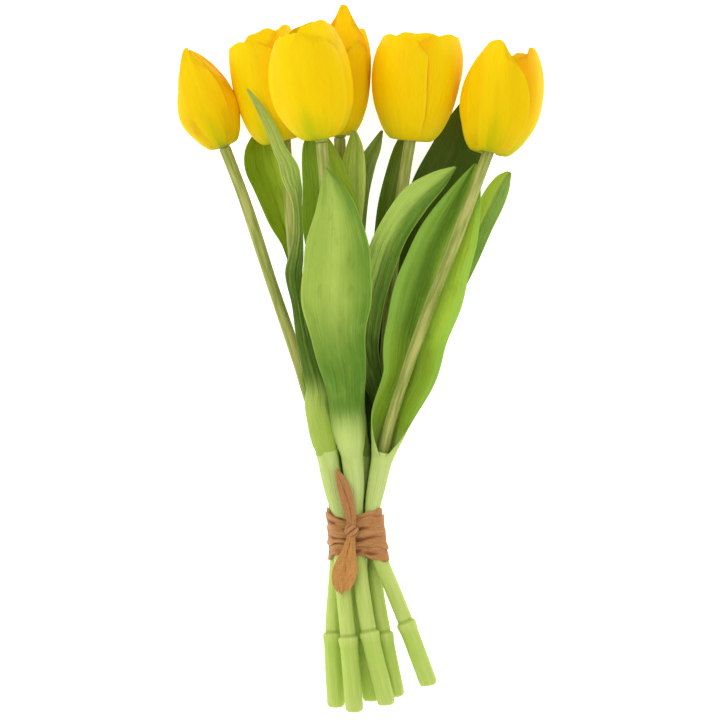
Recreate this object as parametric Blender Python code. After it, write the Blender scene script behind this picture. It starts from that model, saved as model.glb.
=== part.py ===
"""A bunch of six cut yellow tulips, held by a knotted paper ribbon and lying on its side.

Each bloom is a node of six petals in two whorls, fused to the receptacle that they grow from.
Each stem, each leaf and the ribbon is a node of its own. The sizes below are in millimetres.
The bunch lies along +Y with its heads at the far end, +Z is up, and z = 0 is what it lies on.
"""
import math

import bmesh
import bpy
from mathutils import Vector

MM = 0.001
UP = Vector((0, 0, 1))

# Moves everything so that the middle of the bunch's outline is at the origin.
CENTRING = Vector((0.65, -0.35, 0))

# The stems: a thick cut piece, a ring where the lowest leaf was stripped, a sheath above the tie,
# and the thin flower stalk that grows out of the sheath.
STEM_SIDES = 10
CUT_RADIUS = 5.0
RING_RADIUS = 5.6
LOWER_RADIUS = 4.2
TIED_RADIUS = 4.5
STALK_RADIUS = 3.2
SHEATH_TOP = -50
STALK_START = -42
STALK_STEPS = 7

# The gap that neighbouring pieces keep.
GAP = 0.35

# The ribbon, wrapped twice round the bundle.
TIE_LOW = -113
TIE_HIGH = -84
TIE_THICKNESS = 1.1
TIE_GAP = 0.55
TIE_SIDES = 28
TIE_ROWS = 4
TIE_WAVE = 1.6

# The knot: its middle line and the radii along it, how it is flattened, and the pleats round it.
KNOT_ROUTE = [(-9.5, -101.5, 23.4), (-8.2, -99.5, 25.2), (-5.5, -97, 26.2), (-2.5, -94.5, 25.6),
              (-0.5, -92.5, 23.6)]
KNOT_RADII = (2.6, 4.6, 5.4, 4.6, 2.6)
KNOT_WIDTH = 1.1
KNOT_HEIGHT = 0.62
KNOT_SIDES = 15
KNOT_PLEATS = 5
PLEAT_DEPTH = 0.14

# The two loose ends of the ribbon: share of its length, x, y, z, half width, depth of its folds.
TAIL_ROWS = 7
TAIL_COLUMNS = 4
TAILS = {
    "upper_tail": [(0, -4.5, -95, 26.6, 2.0, 1.0), (0.25, -5.2, -87, 27.4, 2.8, 1.3),
                   (0.55, -7.4, -77, 28.4, 3.2, 1.4), (0.8, -10.6, -68, 28.6, 2.6, 1.1),
                   (1, -13.6, -61.5, 28, 1.1, 0.5)],
    "lower_tail": [(0, -4.2, -98, 26.6, 2.4, 1.2), (0.3, -5.4, -107, 26.6, 3.8, 1.6),
                   (0.55, -7.2, -116, 25.6, 5.2, 1.6), (0.8, -9, -124.5, 24.8, 5.6, 1.4),
                   (1, -10, -131, 24.2, 4.6, 1.2)],
}

# The blades.
LEAF_THICKNESS = 0.8
LEAF_ROWS = 17
LEAF_COLUMNS = 4
LAYER_STEP = 2.2

# How a leaf's base clasps its stem: three places up from its start, and how far round it wraps, in
# degrees to either side. A base outside another one wraps less.
CLASP_STEPS = ((0, 75), (8, 70), (16, 62))
LAYER_WRAP = 0.65

# The petals: the shares of a petal's length that its rows are at, and its form at shares of its
# length and of its bloom's radius. A bud's petals close over it, a cup's stand up.
PETAL_THICKNESS = 0.9
PETAL_SHARES = (0, 0.06, 0.15, 0.32, 0.55, 0.8, 1)
PETAL_COLUMNS = 6
WHORL_STEP = 3.0
SPIRAL_LIFT = 0.75
TIP_FLARE = 1.2
INNER_WIDTH = 0.86
OUTER_ROOT = 2.4
INNER_ROOT = 4.2
ROOT_RADIUS = 4.0
SAG_SHARE = 0.085
BLUNT_WIDTHS = [(0, 0.2), (0.07, 0.5), (0.18, 0.8), (0.36, 0.97), (0.58, 1.0), (0.8, 0.97), (1, 0.68)]
POINTED_WIDTHS = [(0, 0.2), (0.07, 0.5), (0.18, 0.8), (0.36, 0.97), (0.58, 0.92), (0.8, 0.64), (1, 0.14)]
BUD_PROFILE = [(0, 0.10), (0.03, 0.33), (0.09, 0.54), (0.2, 0.8), (0.36, 1.0), (0.55, 0.9), (0.73, 0.66),
               (0.87, 0.45), (1, 0.28), (1.2, 0.2)]
CUP_PROFILE = [(0, 0.10), (0.03, 0.33), (0.09, 0.52), (0.18, 0.72), (0.34, 0.91), (0.6, 1.0), (0.82, 0.96),
               (1, 0.8), (1.2, 0.62)]

# The pistil and the receptacle of every bloom, as level and radius.
PISTIL = [(3, 2.2), (16, 2.6), (22, 2.0), (24, 3.6), (26, 2.4)]
RECEPTACLE = [(0, 3.2), (1.4, 4.1), (4.2, 4.9), (5.4, 3.5)]

# The stems: where the ring is, the radius of the sheath at its top, and the route from the cut end
# up to the bloom as y, x, z.
STEMS = {
    "stem_1": dict(ring=-156, sheath=5.2, route=[
        (-197, -14, 5.9), (-156, -15.4, 5.9), (-124, -12.6, 6.1), (-113, -11.2, 6.1), (-99, -10.6, 6.1),
        (-85, -12, 6.2), (-70, -13.6, 6.4), (-52, -18, 7.2), (-26, -27.5, 9.5), (5, -37, 12),
        (45, -50.5, 15.5), (91, -65.5, 19.5), (120, -76.5, 22)]),
    "stem_2": dict(ring=-158, sheath=6.5, route=[
        (-199.5, -3, 15.4), (-158, -6.6, 16.4), (-127, -9.6, 16), (-113, -10.4, 15.8), (-99, -10.4, 15.8),
        (-85, -12.4, 16.2), (-70, -15.7, 17.6), (-52, -18.8, 19.6), (-23, -25, 20.6), (8, -31.5, 20.8),
        (45, -36, 20.6), (85, -39.5, 20.8), (125.5, -42.5, 21.8)]),
    "stem_3": dict(ring=-155, sheath=6.6, route=[
        (-195.5, 15.4, 16.2), (-155, 5.4, 16.8), (-127, 0.8, 16.2), (-113, -0.6, 15.8), (-99, -1.1, 15.8),
        (-85, -2.6, 17), (-70, -3, 20), (-55, -4.4, 22), (-28, -7.5, 27), (11, -12, 36),
        (50, -15.5, 45), (89, -19, 53.5), (122.5, -21.5, 60.5)]),
    "stem_4": dict(ring=-160, sheath=5.2, route=[
        (-193.5, 7, 5.9), (-160, 1.8, 5.9), (-131, -0.4, 6.1), (-113, -1.2, 6.1), (-99, -1.2, 6.1),
        (-85, -2.6, 6.5), (-70, -0.9, 7.8), (-54, 0.4, 9), (-23, -1, 11), (23, -5, 14),
        (73, -9, 17.5), (125.5, -11.5, 20)]),
    "stem_5": dict(ring=-156, sheath=5.2, route=[
        (-191, 21.2, 5.9), (-156, 14.6, 5.9), (-129, 9.8, 6.1), (-113, 8.4, 6.1), (-99, 8.1, 6.1),
        (-85, 7, 6.2), (-70, 9.6, 6.6), (-54, 12, 7.5), (-23, 13, 8.8), (23, 16, 12), (80, 21.5, 18.5),
        (125, 28.5, 24.8)]),
    "stem_6": dict(ring=-149.5, sheath=6.3, route=[
        (-184.5, 39.4, 8), (-149.5, 27.2, 10.8), (-128, 18.2, 14), (-113, 11.4, 15.6), (-99, 8.3, 15.8),
        (-85, 7, 16.4), (-70, 9.6, 18), (-56, 12.5, 20), (-34, 17.5, 23), (-3, 27.5, 27),
        (31, 39.5, 31), (65, 53, 35), (117.5, 71.8, 38.5)]),
}

# The blooms: the stem that carries each one, the place of its crown, its widest radius, how far its
# neighbours press it in sideways, how far the petals open at the top (0 a closed bud, 1 a cup),
# where the first outer petal faces (degrees from straight up, towards +x), how widely the petals
# spread, how far the outer ones sag at the bottom, and how pointed and how long the six of them
# are, three outer and then three inner.
BLOOMS = {
    "bloom_1": dict(stem="stem_1", crown=(-97.8, 176.5, 20.2), radius=16.6, press=1.0, opening=0.02,
                    face=-10, spread=0.95, sag=4.2, pointed=(1, 1, 1, 1, 1, 1),
                    lengths=(1.0, 0.93, 0.95, 0.9, 0.86, 0.88)),
    "bloom_2": dict(stem="stem_2", crown=(-58.4, 187, 21.6), radius=21.4, press=0.94, opening=0.9,
                    face=-40, spread=1.05, sag=7.5, pointed=(0, 0, 0, 0, 0, 0),
                    lengths=(0.93, 1.0, 0.97, 1.0, 0.98, 1.0)),
    "bloom_3": dict(stem="stem_3", crown=(-32.3, 186, 64.5), radius=23.4, press=1.0, opening=0.7,
                    face=-21, spread=1.12, sag=3.4, pointed=(0, 0, 0, 0, 0, 0),
                    lengths=(0.97, 0.98, 0.97, 1.06, 0.97, 0.99)),
    "bloom_4": dict(stem="stem_4", crown=(-11, 189, 18), radius=17.8, press=0.97, opening=0.8,
                    face=68, spread=1.05, sag=4.0, pointed=(0.2, 0.4, 0.2, 0.5, 0.5, 0.9),
                    lengths=(0.98, 0.97, 0.97, 1.0, 1.0, 1.17)),
    "bloom_5": dict(stem="stem_5", crown=(34.6, 183, 25), radius=24.7, press=1.0, opening=1.0,
                    face=-48, spread=1.05, sag=6.6, pointed=(0, 0, 0, 0, 0, 0),
                    lengths=(1.0, 1.01, 0.97, 1.01, 1.0, 0.98)),
    "bloom_6": dict(stem="stem_6", crown=(88.6, 176.5, 33), radius=23.2, press=1.0, opening=0.4,
                    face=2, spread=1.0, sag=6.6, pointed=(0.6, 0.3, 0.3, 0.5, 0.5, 0.3),
                    lengths=(0.98, 0.98, 1.0, 0.95, 0.96, 1.03)),
}

# The leaves: the stem each one clasps and the side of it (1 over the stem, -1 under it), how many
# leaf bases it lies outside of (layer), where its base starts, the radii that the base is bent to if
# it stands off the stem (clasp), the height, number and phase of the waves along its edges, and the
# blade as y, x, z, half width, roll and cup in degrees. A cup above 0 turns the edges up.
LEAVES = {
    "leaf_1": dict(stem="stem_3", side=1, start=-46, clasp=(8.4, 10.1, 11.1), wave=(1.2, 2.5, 0.4), blade=[
        (-11.5, -8.5, 39, 12.8, 0, -38), (11, -12, 44, 16, 0, -28), (33.5, -13.5, 49, 20, 2, -20),
        (58.5, -13, 54, 19, 4, -18), (83.5, -13.5, 59, 12.5, 2, -18), (98.5, -16.5, 62, 6, 0, -12),
        (108, -19.5, 63, 0.8, 0, 0)]),
    "leaf_2": dict(stem="stem_3", side=-1, start=-44, wave=(0.8, 2, 1.5), blade=[
        (5.5, -9, 26.5, 9.5, 0, 24), (39.5, -13, 33, 13.5, 0, 18), (73, -15.5, 39.5, 16.5, 0, 14),
        (101, -19.5, 42.4, 13.5, 0, 8), (122, -24.5, 41.4, 8, 0, 0), (133, -27, 39.4, 1, 0, 0)]),
    "leaf_3": dict(stem="stem_6", side=-1, start=-46, clasp=(8, 9.6, 12.2), wave=(1.5, 2.5, 0), blade=[
        (-8.5, 28, 20, 16, 0, 34), (11.5, 31.5, 22.5, 19, 0, 26), (34, 38, 25, 20.5, 0, 22),
        (56.5, 45, 27.5, 19, 0, 20), (79.5, 54, 30.5, 14.5, 0, 20), (96, 60.5, 32.5, 8.5, 0, 12),
        (111, 65.5, 33.5, 0.8, 0, 0)]),
    "leaf_4": dict(stem="stem_5", side=1, start=-46, wave=(0.7, 2, 2.2), blade=[
        (5.5, 3.5, 22, 7, -8, 20), (28.5, 5, 28, 8, -6, 18), (45.5, 9, 32, 8.5, -4, 16),
        (68, 16.5, 36.5, 9, 0, 14), (90.5, 31, 39, 8.5, 0, 14), (101.5, 44, 40, 5.5, 0, 8),
        (109, 54, 40, 0.8, 0, 0)]),
    "leaf_5": dict(stem="stem_4", side=-1, start=-48, clasp=(6.2, 6.3, 6.9), wave=(0.5, 2, 0.8), blade=[
        (23, -4, 8.5, 5.5, 0, 30), (57, -3.5, 11, 6, 0, 24), (88.5, -1, 13.5, 5.5, 0, 18),
        (111, 4, 17, 5, 0, 10), (120.5, 8.5, 18.5, 3.5, 0, 5), (130, 12.5, 19.5, 0.8, 0, 0)]),
    "leaf_6": dict(stem="stem_4", side=1, start=-44, wave=(0.6, 2, 2.6), blade=[
        (23, -8, 19.5, 6, 0, -20), (63, -8, 24, 7.5, 0, -16), (94, -4.5, 27.5, 7.5, 0, -14),
        (111, -3.5, 29, 6.5, 0, -10), (121.5, -3, 29.5, 4.5, 0, -6), (129.5, -3.5, 29.5, 1.6, 0, 0)]),
    "leaf_7": dict(stem="stem_5", side=-1, start=-50, wave=(0.8, 2, 0.2), blade=[
        (17, 11.5, 6, 6.5, 0, 26), (51.5, 13.5, 8, 7.5, 0, 22), (80.5, 17, 10.5, 8, 0, 18),
        (100.5, 20.5, 11, 7.5, 0, 14), (120.5, 25, 6.6, 5.5, 0, 8), (133, 28, 1.6, 0.8, 0, 0)]),
    "leaf_8": dict(stem="stem_5", side=-1, layer=1, start=-51, wave=(1.0, 2, 1.1), blade=[
        (-20, 19, 2.2, 6, 0, 8), (0, 23.5, 2.5, 8, 0, 8), (28.5, 30, 2.8, 11, 0, 12),
        (63, 36, 3.2, 14, 0, 12), (92, 43, 3.6, 15.5, 0, 10), (117.5, 52, 4.6, 13, 0, 10),
        (135, 57.5, 5.6, 8, 0, 10), (150, 61, 7, 0.8, 0, 0)]),
    "leaf_9": dict(stem="stem_6", side=-1, layer=1, start=-44, wave=(0.8, 2, 2.0), blade=[
        (-5.5, 33, 13.5, 9, 0, 22), (23, 47, 14.5, 10, 0, 18), (48.5, 59.5, 16.5, 9.5, 0, 16),
        (74, 70, 18.5, 8, 0, 12), (91, 77, 20, 7.5, 0, 10), (101, 82, 21, 5, 0, 6),
        (106.5, 85.5, 21, 1, 0, 0)]),
    "leaf_10": dict(stem="stem_2", side=1, start=-42, clasp=(7.6, 7.6, 7.8), wave=(0.7, 2.5, 0.9), blade=[
        (-17, -24, 28, 7, 0, -30), (8.5, -30.5, 29.5, 5.2, 0, -24), (31.5, -34.6, 30.5, 4.1, 0, -20),
        (48.5, -37.4, 31.5, 4.8, -5, -16), (59, -35.8, 32.5, 4.2, -18, -12), (70, -34.6, 34, 4, -38, -10),
        (84, -35, 36, 4.6, -52, -8), (95, -36.4, 37.8, 4.8, -36, -4), (102, -38.7, 39, 5.2, -16, 4),
        (107, -39.8, 40, 5.5, -8, 8), (113, -42.1, 41.5, 4.6, -4, 10), (118.7, -45.3, 42.6, 3.9, 0, 10),
        (131, -50.3, 45.5, 3.3, 0, 8), (143.5, -57.2, 48, 2.2, 0, 0), (153, -63.6, 49, 0.6, 0, 0)]),
    "leaf_11": dict(stem="stem_2", side=-1, start=-44, wave=(0.6, 2, 1.4), blade=[
        (-14, -27.5, 15.5, 4.5, 0, 30), (0, -30.5, 15, 3.5, 0, 28), (31.5, -35, 14, 3.5, 0, 24),
        (55, -37.5, 12.5, 3.4, 0, 22), (62, -39, 12, 4, 0, 22), (68, -40.2, 11.5, 5.2, 0, 20),
        (79, -43.9, 10.5, 7.8, 0, 18), (90.4, -46.9, 9.5, 9.9, 0, 16), (101.7, -50.4, 8.5, 11.5, 0, 14),
        (110.2, -53.3, 8, 12.2, 0, 12), (118.7, -54.7, 6.5, 10.7, 0, 10), (125, -55.5, 5, 7.5, 0, 6),
        (133, -56.5, 3.5, 0.8, 0, 0)]),
}

# Colour, roughness.
FINISHES = {
    "stem": ((0.50, 0.62, 0.16), 0.5),
    "leaf": ((0.16, 0.36, 0.05), 0.5),
    "bloom": ((0.96, 0.62, 0.01), 0.55),
    "tie": ((0.45, 0.21, 0.08), 0.85),
}


def between(rows, place):
    """Read a table of rows at a place along it, by a smooth cubic through the rows."""
    place = min(max(place, rows[0][0]), rows[-1][0])
    last = len(rows) - 1
    index = next(i for i in range(last) if place <= rows[i + 1][0])
    low, high = rows[index], rows[index + 1]
    span = high[0] - low[0]
    t = (place - low[0]) / span

    def slope(row, column):
        before, after = rows[max(row - 1, 0)], rows[min(row + 1, last)]
        return (after[column] - before[column]) / (after[0] - before[0]) * span

    values = []
    for column in range(1, len(low)):
        start, end = low[column], high[column]
        rise, fall = slope(index, column), slope(index + 1, column)
        values.append(start * (2 * t**3 - 3 * t**2 + 1) + rise * (t**3 - 2 * t**2 + t)
                      + end * (3 * t**2 - 2 * t**3) + fall * (t**3 - t**2))
    return values


def make_object(name, finish, vertices, faces):
    """Make one closed object from points in millimetres."""
    mesh = bpy.data.meshes.new(name)
    mesh.from_pydata([(Vector(point) + CENTRING) * MM for point in vertices], [], faces)
    shape = bmesh.new()
    shape.from_mesh(mesh)
    bmesh.ops.recalc_face_normals(shape, faces=shape.faces)
    shape.to_mesh(mesh)
    shape.free()
    colour, roughness = FINISHES[finish]
    material = bpy.data.materials.new(name)
    material.use_nodes = True
    shader = material.node_tree.nodes["Principled BSDF"]
    shader.inputs["Base Color"].default_value = (*colour, 1)
    shader.inputs["Roughness"].default_value = roughness
    mesh.materials.append(material)
    mesh.shade_smooth()
    piece = bpy.data.objects.new(name, mesh)
    bpy.context.collection.objects.link(piece)
    return piece


def fuse(body, parts):
    """Union the parts into the body with one Boolean, and remove them."""
    bag = bpy.data.collections.new(body.name + "_parts")
    bpy.context.scene.collection.children.link(bag)
    for part in parts:
        bpy.context.collection.objects.unlink(part)
        bag.objects.link(part)
    union = body.modifiers.new("union", "BOOLEAN")
    union.operation = "UNION"
    union.operand_type = "COLLECTION"
    union.collection = bag
    union.solver = "MANIFOLD"
    bpy.context.view_layer.update()
    fused = bpy.data.meshes.new_from_object(body.evaluated_get(bpy.context.evaluated_depsgraph_get()))
    body.modifiers.clear()
    body.data = fused
    for part in parts:
        bpy.data.objects.remove(part)
    bpy.data.collections.remove(bag)
    return body


def tube(name, finish, centres, radii, sides=STEM_SIDES, beyond=None):
    """Sweep a round section along a path and cap both ends, the last one square to a point beyond."""
    vertices, faces = [], []
    for index, (centre, radius) in enumerate(zip(centres, radii)):
        ahead = centres[min(index + 1, len(centres) - 1)] - centres[max(index - 1, 0)]
        if beyond is not None and index == len(centres) - 1:
            ahead = beyond - centre
        side = ahead.cross(UP).normalized()
        over = side.cross(ahead).normalized()
        for step in range(sides):
            turn = math.tau * (step + 0.5) / sides
            vertices.append(centre + radius * (math.cos(turn) * side + math.sin(turn) * over))
    for ring in range(len(centres) - 1):
        for step in range(sides):
            following = (step + 1) % sides
            faces.append((ring * sides + step, ring * sides + following,
                          (ring + 1) * sides + following, (ring + 1) * sides + step))
    faces.append(tuple(range(sides)))
    faces.append(tuple(range(len(vertices) - sides, len(vertices))))
    return make_object(name, finish, vertices, faces)


def blade(name, finish, grid, thickness, closed=False):
    """Thicken a grid of points into a closed sheet, split alike on both faces.

    No point goes below z = 0: what touches the ground lies flat on it.
    """
    rows, columns = len(grid), len(grid[0])
    upper, lower = [], []
    for row in range(rows):
        for column in range(columns):
            along = grid[min(row + 1, rows - 1)][column] - grid[max(row - 1, 0)][column]
            if closed:
                across = grid[row][(column + 1) % columns] - grid[row][column - 1]
            else:
                across = grid[row][min(column + 1, columns - 1)] - grid[row][max(column - 1, 0)]
            normal = along.cross(across).normalized() * thickness / 2
            for side, sheet in ((normal, upper), (-normal, lower)):
                point = grid[row][column] + side
                point.z = max(point.z, 0)
                sheet.append(point)
    half = rows * columns
    faces = []
    wrap = columns if closed else columns - 1
    for row in range(rows - 1):
        for column in range(wrap):
            following = (column + 1) % columns
            a, b = row * columns + column, row * columns + following
            c, d = b + columns, a + columns
            for offset in (0, half):
                faces += [(a + offset, b + offset, c + offset), (a + offset, c + offset, d + offset)]
    loop = []
    if closed:
        for row in (0, rows - 1):
            loop.append([row * columns + column for column in range(columns)])
    else:
        edge = [column for column in range(columns)]
        edge += [row * columns + columns - 1 for row in range(1, rows)]
        edge += [(rows - 1) * columns + column for column in range(columns - 2, -1, -1)]
        edge += [row * columns for row in range(rows - 2, 0, -1)]
        loop.append(edge)
    for edge in loop:
        for here, there in zip(edge, edge[1:] + edge[:1]):
            faces += [(here, there, there + half), (here, there + half, here + half)]
    return make_object(name, finish, upper + lower, faces)


def stem_centre(name, place):
    """The middle of a stem at a place along y."""
    x, z = between(STEMS[name]["route"], place)
    return Vector((x, place, z))


def stem_radius(name, place):
    """The radius of a stem at a place along y."""
    ring, sheath = STEMS[name]["ring"], STEMS[name]["sheath"]
    cut = STEMS[name]["route"][0][0]
    profile = [(cut, 0.72 * CUT_RADIUS), (cut + 1.5, CUT_RADIUS), (ring - 3, CUT_RADIUS),
               (ring - 1.2, RING_RADIUS), (ring + 0.8, RING_RADIUS), (ring + 2, LOWER_RADIUS),
               (TIE_LOW - 12, LOWER_RADIUS), (TIE_LOW, TIED_RADIUS), (TIE_HIGH, TIED_RADIUS),
               (TIE_HIGH + 12, (TIED_RADIUS + sheath) / 2), (SHEATH_TOP, sheath),
               (STALK_START, STALK_RADIUS), (200, STALK_RADIUS)]
    for (low, start), (high, end) in zip(profile, profile[1:]):
        if place <= high:
            return start + (end - start) * (place - low) / (high - low)
    return STALK_RADIUS


def make_stem(name):
    """One stem, from its cut end to just below the receptacle."""
    cut, top = STEMS[name]["route"][0][0], STEMS[name]["route"][-1][0]
    ring = STEMS[name]["ring"]
    places = [cut, cut + 1.5, (cut + ring) / 2, ring - 3, ring - 1.2, ring + 0.8, ring + 2,
              (ring + TIE_LOW) / 2, TIE_LOW, (TIE_LOW + TIE_HIGH) / 2, TIE_HIGH, TIE_HIGH + 10,
              (TIE_HIGH + SHEATH_TOP) / 2 + 5, SHEATH_TOP, STALK_START]
    places += [STALK_START + (top - STALK_START) * step / STALK_STEPS for step in range(1, STALK_STEPS + 1)]
    return tube(name, "stem", [stem_centre(name, place) for place in places],
                [stem_radius(name, place) for place in places],
                beyond=Vector(BLOOMS[name.replace("stem", "bloom")]["crown"]))


def make_leaf(name):
    """One leaf: a base that clasps its stem, opening into a waved, cupped blade."""
    leaf = LEAVES[name]
    layer = leaf.get("layer", 0)
    rows = []
    for step, (ahead, wrap) in enumerate(CLASP_STEPS):
        place = leaf["start"] + ahead
        radius = stem_radius(leaf["stem"], place) + GAP + LEAF_THICKNESS / 2 + 0.25
        if layer:
            radius += LAYER_STEP * layer
            wrap *= LAYER_WRAP
        bend = leaf["clasp"][step] if "clasp" in leaf else radius
        centre = stem_centre(leaf["stem"], place)
        rows.append((place, centre.x, centre.z + leaf["side"] * radius, bend * math.radians(wrap), 0,
                     -leaf["side"] * wrap))
    rows += leaf["blade"]
    height, waves, phase = leaf["wave"]
    first, last = rows[0][0], rows[-1][0]
    grid = []
    for row in range(LEAF_ROWS + 1):
        share = row / LEAF_ROWS
        place = first + (last - first) * share
        x, z, half_width, roll, cup = between(rows, place)
        step = 1.5
        x_behind, z_behind = between(rows, place - step)[:2]
        x_ahead, z_ahead = between(rows, place + step)[:2]
        ahead = Vector((x_ahead - x_behind, 2 * step, z_ahead - z_behind)).normalized()
        side = ahead.cross(UP).normalized()
        over = side.cross(ahead)
        turn = math.radians(roll)
        side, over = (side * math.cos(turn) + over * math.sin(turn),
                      over * math.cos(turn) - side * math.sin(turn))
        bend = math.radians(cup)
        bend = bend if abs(bend) > 0.01 else 0.01
        line = []
        for column in range(LEAF_COLUMNS + 1):
            across = 2 * column / LEAF_COLUMNS - 1
            lift = half_width * (1 - math.cos(across * bend)) / bend
            reach = half_width * math.sin(across * bend) / bend
            ripple = height * across * abs(across) * math.sin(math.pi * share)
            lift += ripple * math.sin(math.tau * waves * share + phase + across)
            line.append(Vector((x, place, z)) + side * reach + over * lift)
        grid.append(line)
    return blade(name, "leaf", grid, LEAF_THICKNESS)


def make_bloom(name):
    """One bloom: three outer and three inner petals and a pistil on a receptacle."""
    bloom = BLOOMS[name]
    base = stem_centre(bloom["stem"], STEMS[bloom["stem"]]["route"][-1][0])
    crown = Vector(bloom["crown"])
    length = (crown - base).length
    axis = (crown - base).normalized()
    base = base + axis * GAP
    facing = (UP - axis * UP.dot(axis)).normalized()
    sideways = axis.cross(facing)
    radius = bloom["radius"]
    parts = []
    for petal in range(6):
        inner = petal >= 3
        face = math.radians(bloom["face"] + 120 * petal + (60 if inner else 0))
        reach = bloom["lengths"][petal] * length
        root = INNER_ROOT if inner else OUTER_ROOT
        pointed = bloom["pointed"][petal]
        sag = 0 if inner else bloom["sag"]
        grid = []
        for share in PETAL_SHARES:
            width = ((1 - pointed) * between(BLUNT_WIDTHS, share)[0]
                     + pointed * between(POINTED_WIDTHS, share)[0])
            half_width = radius * bloom["spread"] * width * (INNER_WIDTH if inner else 1)
            line = []
            for column in range(PETAL_COLUMNS + 1):
                across = 2 * column / PETAL_COLUMNS - 1
                drop = 0.15 * abs(across)**2.6 * share**4
                height = share * (1 - drop)
                level = root + (reach - root) * height
                closed = between(BUD_PROFILE, height)[0]
                open_cup = between(CUP_PROFILE, height)[0]
                out = radius * (closed + (open_cup - closed) * bloom["opening"])
                turn = face + across * min(half_width / out, 1 if share < 0.1 else 1.3)
                out = ROOT_RADIUS + (out - ROOT_RADIUS) * min(1, share * 15)
                level -= sag * share / SAG_SHARE * math.exp(1 - share / SAG_SHARE)
                fade = min(1, share * 4)
                out += fade * SPIRAL_LIFT * across
                out += -fade * WHORL_STEP if inner else TIP_FLARE * share**3
                out += fade * 0.35 * math.sin(5 * turn + 7 * height)
                line.append(base + axis * level
                            + out * (facing * math.cos(turn)
                                     + sideways * math.sin(turn) * bloom["press"]))
            grid.append(line)
        parts.append(blade(f"{name}_petal_{petal + 1}", "bloom", grid, PETAL_THICKNESS))
    parts.append(tube(name + "_pistil", "bloom", [base + axis * level for level, _ in PISTIL],
                      [wide for _, wide in PISTIL], 6))
    body = tube(name, "bloom", [base + axis * level for level, _ in RECEPTACLE],
                [wide for _, wide in RECEPTACLE])
    return fuse(body, parts)


def bundle_point(place, turn, clearance):
    """The point furthest out in one direction round the tied stems."""
    way = Vector((math.cos(turn), 0, math.sin(turn)))
    points = []
    for name in STEMS:
        centre = stem_centre(name, place)
        points.append(centre + way * (stem_radius(name, place) + clearance))
    return max(points, key=way.dot)


def make_tie():
    """The ribbon: a band pulled tight round the stems, a knot on top of it and two loose tails."""
    grid = []
    for row in range(TIE_ROWS + 1):
        place = TIE_LOW + (TIE_HIGH - TIE_LOW) * row / TIE_ROWS
        line = []
        for step in range(TIE_SIDES):
            turn = -math.tau * step / TIE_SIDES
            wave = TIE_WAVE * math.sin(3 * turn + row) if row in (0, TIE_ROWS) else 0
            line.append(bundle_point(place + wave, turn, TIE_GAP + TIE_THICKNESS / 2))
        grid.append(line)
    band = blade("tie_ribbon", "tie", grid, TIE_THICKNESS, closed=True)
    return fuse(band, [make_knot()] + [make_tail(name) for name in TAILS])


def make_knot():
    """The knot: the gathered ribbon, drawn slantwise over the band in a pleated lump."""
    sides = KNOT_SIDES
    vertices, faces = [], []
    slant = (Vector(KNOT_ROUTE[-1]) - Vector(KNOT_ROUTE[0])).normalized()
    across = slant.cross(UP).normalized()
    for centre, size in zip(KNOT_ROUTE, KNOT_RADII):
        for step in range(sides):
            turn = math.tau * step / sides
            out = size * (1 + PLEAT_DEPTH * math.cos(KNOT_PLEATS * turn))
            vertices.append(Vector(centre) + across * out * KNOT_WIDTH * math.cos(turn)
                            + UP * out * KNOT_HEIGHT * math.sin(turn))
    for ring in range(len(KNOT_ROUTE) - 1):
        for step in range(sides):
            following = (step + 1) % sides
            faces.append((ring * sides + step, ring * sides + following,
                          (ring + 1) * sides + following, (ring + 1) * sides + step))
    faces.append(tuple(range(sides)))
    faces.append(tuple(range(len(vertices) - sides, len(vertices))))
    return make_object("knot", "tie", vertices, faces)


def make_tail(name):
    """One loose end of the ribbon: a strip folded lengthwise, from the knot to its cut end."""
    rows = TAILS[name]
    grid = []
    for row in range(TAIL_ROWS + 1):
        share = row / TAIL_ROWS
        x, y, z, half_width, fold = between(rows, share)
        x_ahead, y_ahead, z_ahead = between(rows, share + 0.05)[:3]
        x_behind, y_behind, z_behind = between(rows, share - 0.05)[:3]
        ahead = Vector((x_ahead - x_behind, y_ahead - y_behind, z_ahead - z_behind)).normalized()
        side = ahead.cross(UP).normalized()
        over = side.cross(ahead)
        line = []
        for column in range(TAIL_COLUMNS + 1):
            across = 2 * column / TAIL_COLUMNS - 1
            lift = fold * (1 if column % 2 else -1) / 2
            line.append(Vector((x, y, z)) + side * half_width * across + over * lift)
        grid.append(line)
    return blade(name, "tie", grid, TIE_THICKNESS)


for leftover in list(bpy.data.objects):
    bpy.data.objects.remove(leftover)
for stem_name in STEMS:
    make_stem(stem_name)
for leaf_name in LEAVES:
    make_leaf(leaf_name)
for bloom_name in BLOOMS:
    make_bloom(bloom_name)
make_tie()
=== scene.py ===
"""A bunch of six cut yellow tulips, held by a knotted paper ribbon and lying on its side.

Sizes are in millimetres until they are placed. The bunch lies along +Y, with its heads at the far
end, and the camera looks straight down on it.
"""
import math

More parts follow.
